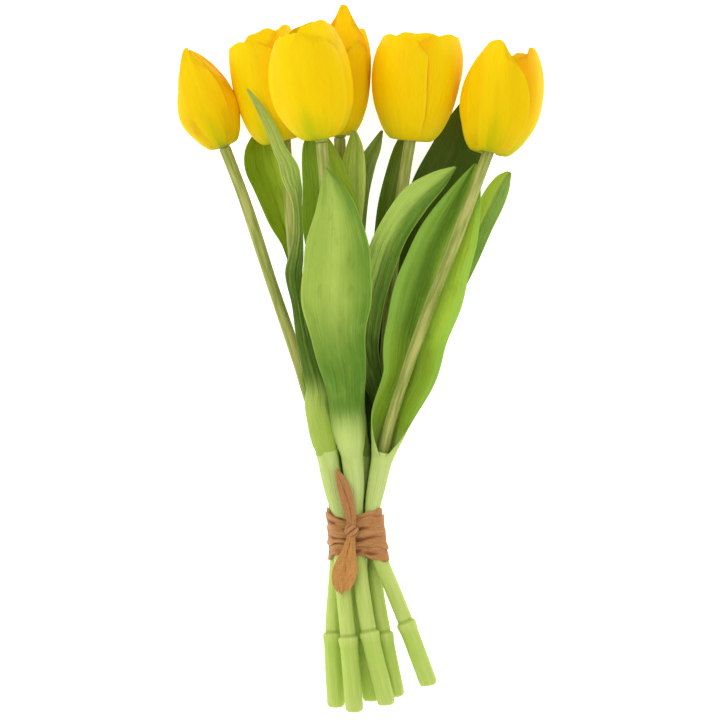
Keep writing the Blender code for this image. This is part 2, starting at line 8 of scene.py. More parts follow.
import bpy
import numpy as np
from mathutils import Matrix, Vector


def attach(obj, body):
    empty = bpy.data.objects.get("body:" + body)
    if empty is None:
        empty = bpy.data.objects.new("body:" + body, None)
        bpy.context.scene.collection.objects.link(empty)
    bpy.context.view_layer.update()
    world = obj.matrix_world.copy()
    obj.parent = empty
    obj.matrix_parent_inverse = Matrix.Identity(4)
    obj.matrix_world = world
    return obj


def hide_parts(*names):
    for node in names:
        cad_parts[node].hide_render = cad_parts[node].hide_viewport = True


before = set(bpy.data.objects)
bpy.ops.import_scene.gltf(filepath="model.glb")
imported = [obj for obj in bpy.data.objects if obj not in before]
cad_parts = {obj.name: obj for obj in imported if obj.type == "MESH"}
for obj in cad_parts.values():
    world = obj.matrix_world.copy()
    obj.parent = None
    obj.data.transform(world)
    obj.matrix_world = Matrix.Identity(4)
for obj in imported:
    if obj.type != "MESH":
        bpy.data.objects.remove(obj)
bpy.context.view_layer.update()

# The view and the studio. The bunch is seen from straight above through a long lens, as it was laid
# out, in the even light of a big soft lamp on its left, a weaker one opposite and a pale room.
view = bpy.data.cameras.new("view")
view.angle = math.radians(2.926)
view.clip_end = 30
camera = bpy.data.objects.new("view", view)
camera.location = (0.00065, -0.00035, 8)
bpy.context.collection.objects.link(camera)
bpy.context.scene.camera = camera
bpy.context.scene.view_settings.view_transform = "Standard"

# Each lamp: its place in metres, its power in watts and its breadth in metres.
for lamp_name, place, power, breadth in (
        ("key_lamp", (-0.9, 0.7, 1.7), 12, 1.3),
        ("fill_lamp", (1.3, -0.4, 1.3), 3.5, 1.6)):
    lamp = bpy.data.lights.new(lamp_name, "AREA")
    lamp.energy = power
    lamp.size = breadth
    lamp_object = bpy.data.objects.new(lamp_name, lamp)
    lamp_object.location = place
    lamp_object.rotation_euler = (-Vector(place)).to_track_quat("-Z", "Y").to_euler()
    bpy.context.collection.objects.link(lamp_object)

room = bpy.data.worlds.new("room")
room.use_nodes = True
backdrop = room.node_tree.nodes["Background"].inputs
backdrop["Color"].default_value = (1, 1, 1, 1)
backdrop["Strength"].default_value = 0.74
bpy.context.scene.world = room

table_mesh = bpy.data.meshes.new("table_top")
table_mesh.from_pydata([(-4, -4, 0), (4, -4, 0), (4, 4, 0), (-4, 4, 0)], [], [(0, 1, 2, 3)])
table = bpy.data.objects.new("table_top", table_mesh)
table.location.z = -0.0001
paint = bpy.data.materials.new("table_paint")
paint.use_nodes = True
for socket, value in (("Base Color", (0.95, 0.95, 0.95, 1)), ("Roughness", 0.9),
                      ("Specular IOR Level", 0.1), ("Emission Color", (1, 1, 1, 1)),
                      ("Emission Strength", 0.8)):
    paint.node_tree.nodes["Principled BSDF"].inputs[socket].default_value = value
table_mesh.materials.append(paint)
bpy.context.collection.objects.link(table)

# The stems. Each is one juicy green stalk: a thick cut piece at the foot, a ring where its lowest
# leaf was stripped off, a pale sheath of leaf bases above the tie, and the thin flower stalk that
# comes out of a collar in the sheath and carries the bloom.

# The places below are measured from the middle of the laid-out stems, and this moves them to the
# middle of the whole bunch.
CENTRING = np.array([0.65, -0.35, 0.0])
CUT_RADIUS = 5.0
RING_RADIUS = 5.6
LOWER_RADIUS = 4.4
TIED_RADIUS = 4.5
STALK_RADIUS = 3.2
TIE_LOW = -113
TIE_HIGH = -84
SHEATH_TOP = -50
STALK_START = -42
COLLAR_RISE = 7.0
STEM_SIDES = 28
# What is said of each stem:
#   ring     where its ring is, along y
#   sheath   the radius of its sheath
#   collar   the side on which its collar is highest, in degrees round it: 270 is underneath
#   lip      how much higher the collar is there, if it isn't the usual COLLAR_RISE
#   crown    the tip of its bloom, as x, y, z
#   route    its middle line, in rows of y, x, z
STEMS = {
    "stem_1": dict(
        ring=-156, sheath=5.2, collar=250, crown=(-97.8, 176.5, 20.2),
        route=[(-197, -13.5, 5.9), (-156, -15.4, 5.9), (-124, -13.5, 6.1), (-113, -12.6, 6.1),
               (-99, -12, 6.1), (-85, -13.2, 6.2), (-70, -14.4, 6.4), (-52, -18, 7.2),
               (-26, -27.5, 9.5), (5, -37, 12), (45, -50.5, 15.5), (91, -65.5, 19.5),
               (120, -76.5, 22)]),
    "stem_2": dict(
        ring=-158, sheath=6.5, collar=250, crown=(-58.4, 187, 21.6),
        route=[(-199.5, -3, 15.4), (-158, -6.6, 16.4), (-127, -9.6, 16), (-113, -10.4, 15.8),
               (-99, -10.4, 15.8), (-85, -12.4, 16.2), (-70, -15.7, 17.6), (-52, -18.8, 19.6),
               (-23, -25, 20.6), (8, -31.5, 20.8), (45, -36, 20.6), (85, -39.5, 20.8),
               (125.5, -42.5, 21.8)]),
    "stem_3": dict(
        ring=-155, sheath=6.6, collar=270, crown=(-32.3, 186, 64.5),
        route=[(-195.5, 15.4, 16.2), (-155, 5.4, 16.8), (-127, 0.8, 16.2), (-113, -0.6, 15.8),
               (-99, -1.1, 15.8), (-85, -2.6, 17), (-70, -3, 20), (-55, -4.4, 22), (-28, -7.5, 27),
               (11, -12, 36), (50, -15.5, 45), (89, -19, 53.5), (122.5, -21.5, 60.5)]),
    "stem_4": dict(
        ring=-160, sheath=5.2, collar=270, crown=(-11, 189, 18),
        route=[(-193.5, 7, 5.9), (-160, 1.5, 5.9), (-131, -1.0, 6.1), (-113, -1.2, 6.1),
               (-99, -1.2, 6.1), (-85, -2.6, 6.5), (-70, -0.9, 7.8), (-54, 0.4, 9), (-23, -1, 11),
               (23, -5, 14), (73, -9, 17.5), (125.5, -11.5, 20)]),
    "stem_5": dict(
        ring=-156, sheath=5.2, collar=270, crown=(34.6, 183, 25),
        route=[(-191, 20.6, 5.9), (-156, 13.5, 5.9), (-129, 8.9, 6.1), (-113, 8.4, 6.1),
               (-99, 8.1, 6.1), (-85, 7, 6.2), (-70, 9.6, 6.6), (-54, 12, 7.5), (-23, 13, 8.8),
               (23, 16, 12), (80, 21.5, 18.5), (125, 28.5, 24.8)]),
    "stem_6": dict(
        ring=-149.5, sheath=6.3, collar=270, lip=1.5, crown=(85.8, 178, 33),
        route=[(-184.5, 39.4, 8), (-149.5, 26.3, 10.8), (-128, 17.7, 14), (-113, 11.4, 15.6),
               (-99, 8.3, 15.8), (-85, 7, 16.4), (-70, 9.6, 18), (-56, 12.5, 20), (-34, 17.5, 23),
               (-3, 27.5, 27), (31, 39.5, 31), (65, 53, 35), (117.5, 72.6, 38.5)]),
}


def between(rows, place):
    """Read a table of rows at a place along it, by a smooth cubic through the rows."""
    place = min(max(place, rows[0][0]), rows[-1][0])
    last = len(rows) - 1
    index = next(i for i in range(last) if place <= rows[i + 1][0])
    low, high = np.array(rows[index][1:]), np.array(rows[index + 1][1:])
    span = rows[index + 1][0] - rows[index][0]
    t = (place - rows[index][0]) / span

    def slope(row):
        before, after = rows[max(row - 1, 0)], rows[min(row + 1, last)]
        return (np.array(after[1:]) - np.array(before[1:])) / (after[0] - before[0]) * span

    return (low * (2 * t**3 - 3 * t**2 + 1) + slope(index) * (t**3 - 2 * t**2 + t)
            + high * (3 * t**2 - 2 * t**3) + slope(index + 1) * (t**3 - t**2))


def unit(vectors):
    """The same directions, each one long."""
    return vectors / np.maximum(np.linalg.norm(vectors, axis=-1, keepdims=True), 1e-9)


def square_to(ahead):
    """The two directions square to a way ahead: one level, and one that points up."""
    side = unit(np.cross(ahead, [0, 0, 1]))
    return side, np.cross(side, ahead)


def rise(low, high, value):
    """0 below low, 1 above high, and a smooth step between."""
    t = np.clip((value - low) / (high - low), 0, 1)
    return t * t * (3 - 2 * t)


def make_piece(name, points, faces, finish, values, crease=55):
    """Make one object from points in millimetres, with named values on its points."""
    mesh = bpy.data.meshes.new(name)
    placed = (np.asarray(points) + CENTRING) / 1000
    mesh.from_pydata(placed.tolist(), [], faces)
    for value_name, value in values.items():
        layer = mesh.attributes.new(value_name, "FLOAT", "POINT")
        layer.data.foreach_set("value", np.asarray(value, dtype=np.float32).ravel())
    mesh.shade_smooth()
    mesh.set_sharp_from_angle(angle=math.radians(crease))
    mesh.materials.append(finish)
    piece = bpy.data.objects.new(name, mesh)
    bpy.context.collection.objects.link(piece)
    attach(piece, "root")
    return piece


def ring_faces(rings, sides):
    """Faces between rings of points, and a cap at either end."""
    faces = []
    for ring in range(rings - 1):
        for step in range(sides):
            following = (step + 1) % sides
            faces.append((ring * sides + step, ring * sides + following,
                          (ring + 1) * sides + following, (ring + 1) * sides + step))
    faces.append(tuple(range(sides))[::-1])
    faces.append(tuple(range((rings - 1) * sides, rings * sides)))
    return faces


def stem_centre(name, place):
    """The middle of a stem at a place along y."""
    x, z = between(STEMS[name]["route"], place)
    return np.array([x, place, z])


def stem_radius(name, place):
    """The radius of a stem at a place along y."""
    ring, sheath = STEMS[name]["ring"], STEMS[name]["sheath"]
    cut = STEMS[name]["route"][0][0]
    profile = [(cut, 0.55 * CUT_RADIUS), (cut + 0.5, 0.8 * CUT_RADIUS),
               (cut + 1.4, 0.95 * CUT_RADIUS), (cut + 3, CUT_RADIUS),
               (ring - 9, CUT_RADIUS), (ring - 4, 1.02 * CUT_RADIUS),
               (ring - 1.6, RING_RADIUS), (ring + 0.2, RING_RADIUS + 0.05), (ring + 1.2, 5.0),
               (ring + 1.7, 4.2), (ring + 3.0, LOWER_RADIUS), (TIE_LOW - 12, LOWER_RADIUS),
               (TIE_LOW, TIED_RADIUS), (TIE_HIGH, TIED_RADIUS),
               (TIE_HIGH + 12, (TIED_RADIUS + sheath) / 2), (SHEATH_TOP, sheath),
               (STALK_START, sheath)]
    places, radii = zip(*profile)
    return float(np.interp(place, places, radii))


class Shade:
    """A value, colour or vector in a material. Sums on values add Math nodes."""

    def __init__(self, tree, socket=None):
        self.tree = tree
        self.socket = socket

    def node(self, kind, settings=None, sockets=None, output=0):
        """Add any other node: its settings first, then the values or links of its sockets."""
        made = self.tree.nodes.new("ShaderNode" + kind)
        for setting, value in (settings or {}).items():
            setattr(made, setting, value)
        for socket, value in (sockets or {}).items():
            if isinstance(value, Shade):
                self.tree.links.new(value.socket, made.inputs[socket])
            else:
                made.inputs[socket].default_value = value
        return Shade(self.tree, made.outputs[output])

    def sum(self, operation, left, right):
        return self.node("Math", {"operation": operation}, {0: left, 1: right})

    def __add__(self, other):
        return self.sum("ADD", self, other)

    def __radd__(self, other):
        return self.sum("ADD", other, self)

    def __sub__(self, other):
        return self.sum("SUBTRACT", self, other)

    def __rsub__(self, other):
        return self.sum("SUBTRACT", other, self)

    def __mul__(self, other):
        return self.sum("MULTIPLY", self, other)

    def __rmul__(self, other):
        return self.sum("MULTIPLY", other, self)

    def __abs__(self):
        return self.sum("ABSOLUTE", self, 0.0)

    def read(self, name):
        """A value that the piece carries on its points."""
        return self.node("Attribute", {"attribute_name": name}, output=2)

    def step(self, low, high):
        """0 below low, 1 above high, and a smooth step between; the other way round if low > high."""
        ends = {"Value": self, "From Min": min(low, high), "From Max": max(low, high)}
        if low > high:
            ends.update({"To Min": 1.0, "To Max": 0.0})
        return self.node("MapRange", {"interpolation_type": "SMOOTHSTEP"}, ends)

    def mix(self, low, high):
        """The colour low where this value is 0, and high where it is 1."""
        return self.node("Mix", {"data_type": "RGBA"}, {0: self, 6: low, 7: high}, 2)

    def grain(self, x, y, z, detail=3.0):
        """Noise about 0.5, at a place given by three values."""
        place = self.node("CombineXYZ", sockets={0: x, 1: y, 2: z})
        return self.node("TexNoise", {}, {"Vector": place, "Scale": 1.0, "Detail": detail})


def colour(red, green, blue):
    """A colour given in 0 to 255, as light."""
    light = [part / 12.92 if part <= 0.04045 else ((part + 0.055) / 1.055)**2.4
             for part in (red / 255, green / 255, blue / 255)]
    return (*light, 1.0)


def finished(name, base, rough, height, distance, constants):
    """A material from its colour, roughness and relief, and the shader's own constants."""
    material = bpy.data.materials[name]
    tree = material.node_tree
    shader = tree.nodes["Principled BSDF"]
    for socket, value in constants.items():
        shader.inputs[socket].default_value = value
    tree.links.new(base.socket, shader.inputs["Base Color"])
    tree.links.new(rough.socket, shader.inputs["Roughness"])
    relief = base.node("Bump", {}, {"Strength": 1.0, "Distance": distance, "Height": height})
    tree.links.new(relief.socket, shader.inputs["Normal"])
    return material


def begin(name):
    """Start a material."""
    material = bpy.data.materials.new(name)
    material.use_nodes = True
    return Shade(material.node_tree)


def stem_skin():
    """Lime green below the tie, pale in the sheath, olive to straw in the flower stalk."""
    shade = begin("stem_skin")
    reach, turn, ring, inside = (shade.read(name) for name in ("reach", "turn", "ring", "inside"))
    fibre = shade.grain(turn * 9.0, reach * 0.035, 3.1, 4.0)
    patch = shade.grain(turn * 0.8, reach * 0.05, 8.7, 2.0)
    foot = patch.step(0.3, 0.75).mix(colour(192, 214, 100), colour(204, 220, 120))
    sheath = patch.step(0.3, 0.75).mix(colour(194, 214, 116), colour(206, 222, 138))
    stalk = patch.step(0.35, 0.7).mix(colour(142, 154, 60), colour(194, 194, 108))
    skin = reach.step(-118.0, -84.0).mix(foot, sheath)
    skin = reach.step(-62.0, -49.0).mix(skin, inside.mix(sheath, stalk))
    skin = (fibre.step(0.42, 0.72) * 0.3).mix(skin, colour(222, 230, 150))
    skin = (fibre.step(0.5, 0.28) * 0.3).mix(skin, colour(142, 170, 56))
    # Painted shade in the step just above the ring, where the stem narrows out of it.
    shade_above_ring = abs(reach - ring - 1.7).step(1.6, 0.3)
    skin = (shade_above_ring * 0.5).mix(skin, colour(132, 160, 50))
    below_ring = (reach - ring).step(-0.5, -6.0) * (reach - ring).step(-40.0, -14.0)
    skin = (below_ring * 0.35).mix(skin, colour(172, 206, 66))
    rough = 0.36 + fibre * 0.2
    return finished("stem_skin", skin, rough, fibre, 0.0005,
                    {"Subsurface Weight": 0.12, "Subsurface Radius": (0.5, 1.0, 0.2),
                     "Subsurface Scale": 0.003, "Specular IOR Level": 0.16})


stem_finish = stem_skin()


def make_stem(name):
    """One stem: its foot, ring and sheath, whose collar leaves a rim, and the stalk inside it."""
    stem = STEMS[name]
    cut, top = stem["route"][0][0], stem["route"][-1][0]
    ring = stem["ring"]
    turns = math.tau * (np.arange(STEM_SIDES) + 0.5) / STEM_SIDES
    high_side = math.radians(stem["collar"])
    lip = stem.get("lip", COLLAR_RISE)

    def section(place, radius, skew):
        centre = stem_centre(name, place)
        if place == top:
            ahead = unit(np.array(stem["crown"]) - centre)
        else:
            ahead = unit(stem_centre(name, place + 1) - stem_centre(name, place - 1))
        side, over = square_to(ahead)
        swell = radius * (1 + 0.025 * np.sin(2 * turns + place * 0.02) + 0.012 * np.sin(5 * turns))
        lean = skew * (1 + np.cos(turns - high_side)) / 2
        outward = np.cos(turns)[:, None] * side + np.sin(turns)[:, None] * over
        return centre + swell[:, None] * outward + lean[:, None] * ahead

    places = [cut, cut + 0.5, cut + 1.4, cut + 3]
    places += list(np.linspace(cut + 9, ring - 9, 5))
    places += [ring - 5, ring - 3, ring - 1.6, ring - 0.6, ring + 0.2, ring + 0.8, ring + 1.2,
               ring + 1.7, ring + 2.4, ring + 4]
    places += list(np.linspace(ring + 10, SHEATH_TOP - 10, 18))
    # Each ring of points: its place, radius and skew, the place that its colour is read at, and
    # how far inside the collar it is.
    rings = [(cut - 0.25, 0.3 * CUT_RADIUS, 0, cut - 0.25, 0.0)]
    rings += [(place, stem_radius(name, place), 0, place, 0.0) for place in places]
    for step in (0.35, 0.7, 1.0):
        place = SHEATH_TOP - 10 + 8 * step
        rings.append((place, stem_radius(name, place) + 0.15 * step, lip * step, place, 0.0))
    rim = SHEATH_TOP - 2
    rings += [(rim + 0.25, stem["sheath"] - 0.1, lip, rim, 0.4),
              (rim, STALK_RADIUS + 1.2, lip, rim, 0.4),
              (rim - 1.5, STALK_RADIUS + 0.6, lip, rim, 1.0),
              (rim - 4, STALK_RADIUS, lip * 0.3, rim, 1.0)]
    rings += [(place, STALK_RADIUS * (1.0 + 0.03 * math.sin(place * 0.11)), 0, place, 1.0)
              for place in np.linspace(STALK_START - 2, top, 30)]
    points = np.concatenate([section(place, radius, skew) for place, radius, skew, _, _ in rings])
    count = len(rings)
    values = {"reach": np.repeat([reach for _, _, _, reach, _ in rings], STEM_SIDES),
              "inside": np.repeat([inside for _, _, _, _, inside in rings], STEM_SIDES),
              "turn": np.tile(np.abs((turns / math.pi) - 1) * 6, count),
              "ring": np.full(count * STEM_SIDES, ring)}
    piece = make_piece(name + "_skin", points, ring_faces(count, STEM_SIDES), stem_finish, values, 70)
    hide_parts(name)


for stem_name in STEMS:
    make_stem(stem_name)

# The leaves. Each is one long fleshy blade that grows out of the sheath: its base clasps the stem,
# then it opens, cupped along a groove in the middle, with soft waves along its edges and fine
# parallel veins. Those on top are pale and bloomy; those underneath are painted deeper greens,
# which hold painted shade from the leaves over them as well as their own colour.
LEAF_ROWS = 84
LEAF_COLUMNS = 32
EDGE_THICKNESS = 0.28
RIB_THICKNESS = 0.5
FRILL_HEIGHT = 0.45
FRILL_WAVES = 3.1
LEAST_BEND = 0.01
LEAST_HALF_WIDTH = 0.4
LAYER_STEP = 2.2
LAYER_WRAP = 0.65
SHEATH_WRAPS = (62, 74, 75, 70, 62)
GROOVE_DEPTH = 0.5
SPLIT = (-0.75, 0.75)
PALE_MARGIN = (0.93, 1.0, 0.3)
# What is said of each leaf:
#   stem, side    the stem that it clasps, and 1 over that stem or -1 under it
#   layer         how many other leaf bases lie between its own and the stem
#   start         where its base leaves the sheath, along y
#   clasp         the radii that the base is bent to there and 8 and 16 further on, where they aren't
#                 the stem's own
#   wraps         how far round the stem the base goes to either side, in degrees
#   wave          the height, number and phase of the waves along its edges
#   groove        the depth of its middle groove
#    left, right   the colours of its two sides, which meet across split, partly the leaf's own tones
#                  and partly painted light and shade from how the light falls across the blade
#    streak        a third colour, by its place and width across the leaf; on leaf_3 it is a painted
#                  shadow beside stem_6's stalk
#    low           the colour of its lower part, its own deeper green darkened further with painted shade
#                  from the leaves and stems over it, and where along y it starts, is full, is still
#                  full and ends
#   base          the pale colour of its base, and where along y it ends and is full
#   margin        where across the leaf its pale edge starts and is full, and how strong it is
#   foot, blade   its middle line, in rows of y, x, z, half width, roll and cup, in degrees. A cup
#                 above 0 turns the edges up. A foot takes the place of the clasping base.
LEAVES = {
    "leaf_1": dict(
        stem="stem_3", side=1, start=-46, clasp=(8.4, 10.1, 11.1), wave=(1.2, 2.5, 0.4),
        left=(162, 187, 76), right=(104, 144, 40), streak=(-0.05, 0.3, (176, 199, 88)),
        low=((88, 132, 30), (-44, -28, -12, 46)), base=((200, 220, 126), (-24, -50)),
        split=(0.0, 1.0),
        blade=[(-11.5, -8.5, 39, 12.8, 0, -38), (11, -12, 44, 16, 0, -28),
               (33.5, -13.5, 49, 20, 2, -20), (58.5, -13, 54, 19, 4, -18),
               (83.5, -13.5, 59, 12.5, 2, -18), (98.5, -16.5, 62, 6, 0, -12),
               (108, -19.5, 63, 0.8, 0, 0)]),
    "leaf_2": dict(
        stem="stem_3", side=-1, start=-44, wave=(0.8, 2, 1.5), groove=0.6, left=(116, 146, 22),
        right=(154, 178, 44), streak=(0.0, 0.2, (112, 146, 24)),
        low=((80, 112, 20), (-40, -20, 10, 40)), base=((170, 198, 96), (-24, -50)),
        blade=[(5.5, -9, 26.5, 9.5, 0, 24), (39.5, -13, 33, 13.5, 0, 18),
               (73, -15.5, 39.5, 16.5, 0, 14), (101, -19.5, 42.4, 13.5, 0, 8),
               (122, -24.5, 41.4, 8, 0, 0), (133, -27, 39.4, 1, 0, 0)]),
    "leaf_3": dict(
        stem="stem_6", side=-1, start=-46, clasp=(7.6, 9.6, 12.2), wave=(1.5, 2.5, 0),
        wraps=(174, 166, 143, 112, 76), margin=(0.7, 0.86, 0.6), groove=0.9, left=(130, 168, 54),
        right=(172, 202, 58), streak=(-0.3, 0.22, (80, 114, 10)),
        low=((134, 166, 36), (-56, -36, -6, 24)), base=((197, 215, 124), (-34, -54)),
        split=(-0.4, 0.7),
        blade=[(-8.5, 28, 20, 16, 0, 34), (11.5, 31.2, 22.5, 18.4, 0, 26), (34, 37.8, 25, 20, 0, 22),
               (56.5, 45, 27.5, 19, 0, 20), (79.5, 54, 30.5, 14.5, 0, 20),
               (96, 60.5, 32.5, 8.5, 0, 12), (111, 65.5, 33.5, 0.8, 0, 0)]),
    "leaf_4": dict(
        stem="stem_5", side=1, start=-46, wave=(0.7, 2, 2.2), groove=0.6, left=(178, 206, 92),
        right=(84, 118, 26), streak=(0.5, 0.3, (104, 142, 42)),
        low=((60, 88, 14), (-60, -40, -10, 34)), base=((176, 204, 110), (-44, -60)),
        split=(-0.3, 0.7),
        blade=[(5.5, 3.5, 22, 7, -8, 20), (28.5, 5, 28, 8, -6, 18), (45.5, 9, 32, 8.5, -4, 16),
               (68, 16.5, 36.5, 9, 0, 14), (90.5, 31, 39, 8.5, 0, 14), (101.5, 44, 40, 5.5, 0, 8),
               (109, 54, 40, 0.8, 0, 0)]),
    "leaf_5": dict(
        stem="stem_4", side=-1, start=-48, wave=(0.5, 2, 0.8), left=(140, 156, 70),
        right=(150, 164, 84), streak=(0.1, 0.3, (124, 144, 54)),
        low=((50, 76, 10), (-60, -40, 8, 50)), base=((120, 154, 60), (-50, -66)),
        foot=[(-86, -0.4, 1.3, 6.3, 0, 6), (-70, -1.8, 2.0, 7.7, 0, 8), (-54, -3.0, 2.9, 9.4, 0, 14),
              (-38, -1.6, 4.2, 9.4, 0, 18)],
        blade=[(-20, 0.2, 6.2, 9.0, 0, 22), (23, -4, 8.5, 6.5, 0, 30), (57, -3.5, 11, 6, 0, 24),
               (88.5, -1, 13.5, 5.5, 0, 18), (111, 4, 17, 5, 0, 10), (120.5, 8.5, 18.5, 3.5, 0, 5),
               (130, 12.5, 19.5, 0.8, 0, 0)]),
    "leaf_6": dict(
        stem="stem_4", side=1, start=-44, wave=(0.6, 2, 2.6), left=(176, 196, 70),
        right=(196, 214, 100), streak=(0.3, 0.3, (160, 184, 72)),
        low=((60, 90, 12), (-40, -20, 10, 50)), base=((150, 182, 80), (-30, -56)),
        blade=[(23, -8, 19.5, 6, 0, -20), (63, -8, 24, 7.5, 0, -16), (94, -4.5, 27.5, 7.5, 0, -14),
               (111, -3.5, 29, 6.5, 0, -10), (121.5, -3, 29.5, 4.5, 0, -6),
               (129.5, -3.5, 29.5, 1.6, 0, 0)]),
    "leaf_7": dict(
        stem="stem_5", side=-1, start=-50, wave=(0.8, 2, 0.2), left=(92, 114, 24),
        right=(134, 152, 70), streak=(0.35, 0.25, (98, 116, 48)),
        low=((46, 70, 8), (-60, -40, 8, 50)), base=((120, 154, 60), (-50, -66)),
        blade=[(-20, 9.5, 3.6, 9.5, 0, 8), (17, 11.0, 5.4, 8, 0, 20), (51.5, 13.5, 8, 7.5, 0, 22),
               (80.5, 17, 10.5, 8, 0, 18), (100.5, 20.5, 11, 7.5, 0, 14),
               (120.5, 25, 6.6, 5.5, 0, 8), (133, 28, 1.6, 0.8, 0, 0)]),
    "leaf_8": dict(
        stem="stem_5", side=-1, layer=1, start=-51, wave=(1.0, 2, 1.1), groove=0.6,
        left=(78, 96, 24), right=(60, 80, 2), streak=(0.1, 0.25, (60, 84, 4)),
        low=((62, 88, 10), (-40, -20, 10, 40)), base=((150, 182, 80), (-40, -58)),
        blade=[(-20, 19, 2.2, 6, 0, 8), (0, 23.5, 2.5, 8, 0, 8), (28.5, 30, 2.8, 11, 0, 12),
               (63, 36.5, 3.2, 14.5, 0, 12), (92, 44, 3.6, 16.5, 0, 10),
               (117.5, 54.5, 4.6, 15, 0, 10), (135, 59, 5.6, 9.5, 0, 10), (150, 61, 7, 0.8, 0, 0)]),
    "leaf_9": dict(
        stem="stem_6", side=-1, layer=1, start=-44, wave=(0.8, 2, 2.0), left=(190, 214, 70),
        right=(150, 184, 90), streak=(0.35, 0.4, (146, 182, 84)),
        low=((98, 134, 46), (-40, -10, 20, 50)), base=((196, 216, 124), (-20, -50)),
        split=(-0.5, 0.6),
        blade=[(-5.5, 31, 13.5, 8, 0, 22), (23, 42.6, 14.5, 8, 0, 18), (48.5, 55, 16.5, 7.7, 0, 16),
               (74, 67.4, 18.5, 7.1, 0, 12), (91, 75.6, 20, 6.7, 0, 10), (101, 80.8, 21, 4.8, 0, 6),
               (106.5, 84.6, 21, 1.4, 0, 0)]),
    "leaf_10": dict(
        stem="stem_2", side=1, start=-42, clasp=(7.6, 7.6, 7.8), wave=(0.7, 2.5, 0.9),
        left=(190, 208, 106), right=(176, 202, 92), streak=(0.1, 0.3, (184, 206, 96)),
        low=((70, 106, 18), (-30, -6, 46, 84)), base=((168, 192, 78), (-8, -44)),
        blade=[(-17, -24, 28, 7, 0, -30), (8.5, -30.5, 29.5, 5.2, 0, -24),
               (31.5, -34.6, 30.5, 4.1, 0, -20), (48.5, -37.4, 31.5, 4.8, -5, -16),
               (59, -35.8, 32.5, 4.2, -18, -12), (70, -34.6, 34, 4, -38, -10),
               (84, -35, 36, 4.6, -52, -8), (95, -36.4, 37.8, 4.8, -36, -4),
               (102, -38.7, 39, 5.2, -16, 4), (107, -39.8, 40, 5.5, -8, 8),
               (113, -42.1, 41.5, 4.6, -4, 10), (118.7, -45.3, 42.6, 3.9, 0, 10),
               (131, -50.3, 45.5, 3.3, 0, 8), (143.5, -57.2, 48, 2.2, 0, 0),
               (153, -63.6, 49, 0.6, 0, 0)]),
    "leaf_11": dict(
        stem="stem_2", side=-1, start=-44, wave=(0.6, 2, 1.4), groove=0.6, left=(128, 152, 10),
        right=(176, 200, 56), streak=(0.2, 0.3, (150, 176, 36)),
        low=((100, 130, 12), (-20, 0, 50, 74)), base=((188, 210, 112), (-24, -50)),
        split=(-0.2, 0.9),
        blade=[(-14, -27.5, 15.5, 4.5, 0, 30), (0, -30.5, 15, 3.5, 0, 28),
               (31.5, -35, 14, 3.5, 0, 24), (55, -37.5, 12.5, 3.4, 0, 22), (62, -39, 12, 4, 0, 22),
               (68, -40.2, 11.5, 5.2, 0, 20), (79, -43.9, 10.5, 7.8, 0, 18),
               (90.4, -46.9, 9.5, 9.9, 0, 16), (101.7, -50.4, 8.5, 11.5, 0, 14),
               (110.2, -53.3, 8, 12.2, 0, 12), (118.7, -54.7, 6.5, 10.7, 0, 10),
               (125, -55.5, 5, 7.5, 0, 6), (133, -56.5, 3.5, 0.8, 0, 0)]),
}


def sheet_grid(grid, thickness, closed=False):
    """Thicken a grid of points into a closed sheet that lies flat where it meets the table."""
    rows, columns = grid.shape[:2]
    along = np.gradient(grid, axis=0)
    if closed:
        across = np.roll(grid, -1, 1) - np.roll(grid, 1, 1)
    else:
        across = np.gradient(grid, axis=1)
    half = unit(np.cross(along, across)) * thickness[..., None] / 2
    points = np.concatenate([(grid + half).reshape(-1, 3), (grid - half).reshape(-1, 3)])
    points[:, 2] = np.maximum(points[:, 2], 0.02)
    under = rows * columns
    wrap = columns if closed else columns - 1
    faces = []
    for row in range(rows - 1):
        for column in range(wrap):
            a, b = row * columns + column, row * columns + (column + 1) % columns
            faces.append((a, b, b + columns, a + columns))
            faces.append((a + under, a + columns + under, b + columns + under, b + under))
    edges = []
    if closed:
        edges.append(list(range(columns)))
        edges.append([(rows - 1) * columns + column for column in range(columns)][::-1])
    else:
        edge = list(range(columns))
        edge += [row * columns + columns - 1 for row in range(1, rows)]
        edge += [(rows - 1) * columns + column for column in range(columns - 2, -1, -1)]
        edge += [row * columns for row in range(rows - 2, 0, -1)]
        edges.append(edge)
    for edge in edges:
        for here, there in zip(edge, edge[1:] + edge[:1]):
            faces.append((there, here, here + under, there + under))
    return points, faces


def both(values):
    """The same values on the two faces of a sheet."""
    return np.concatenate([np.asarray(values).ravel()] * 2)


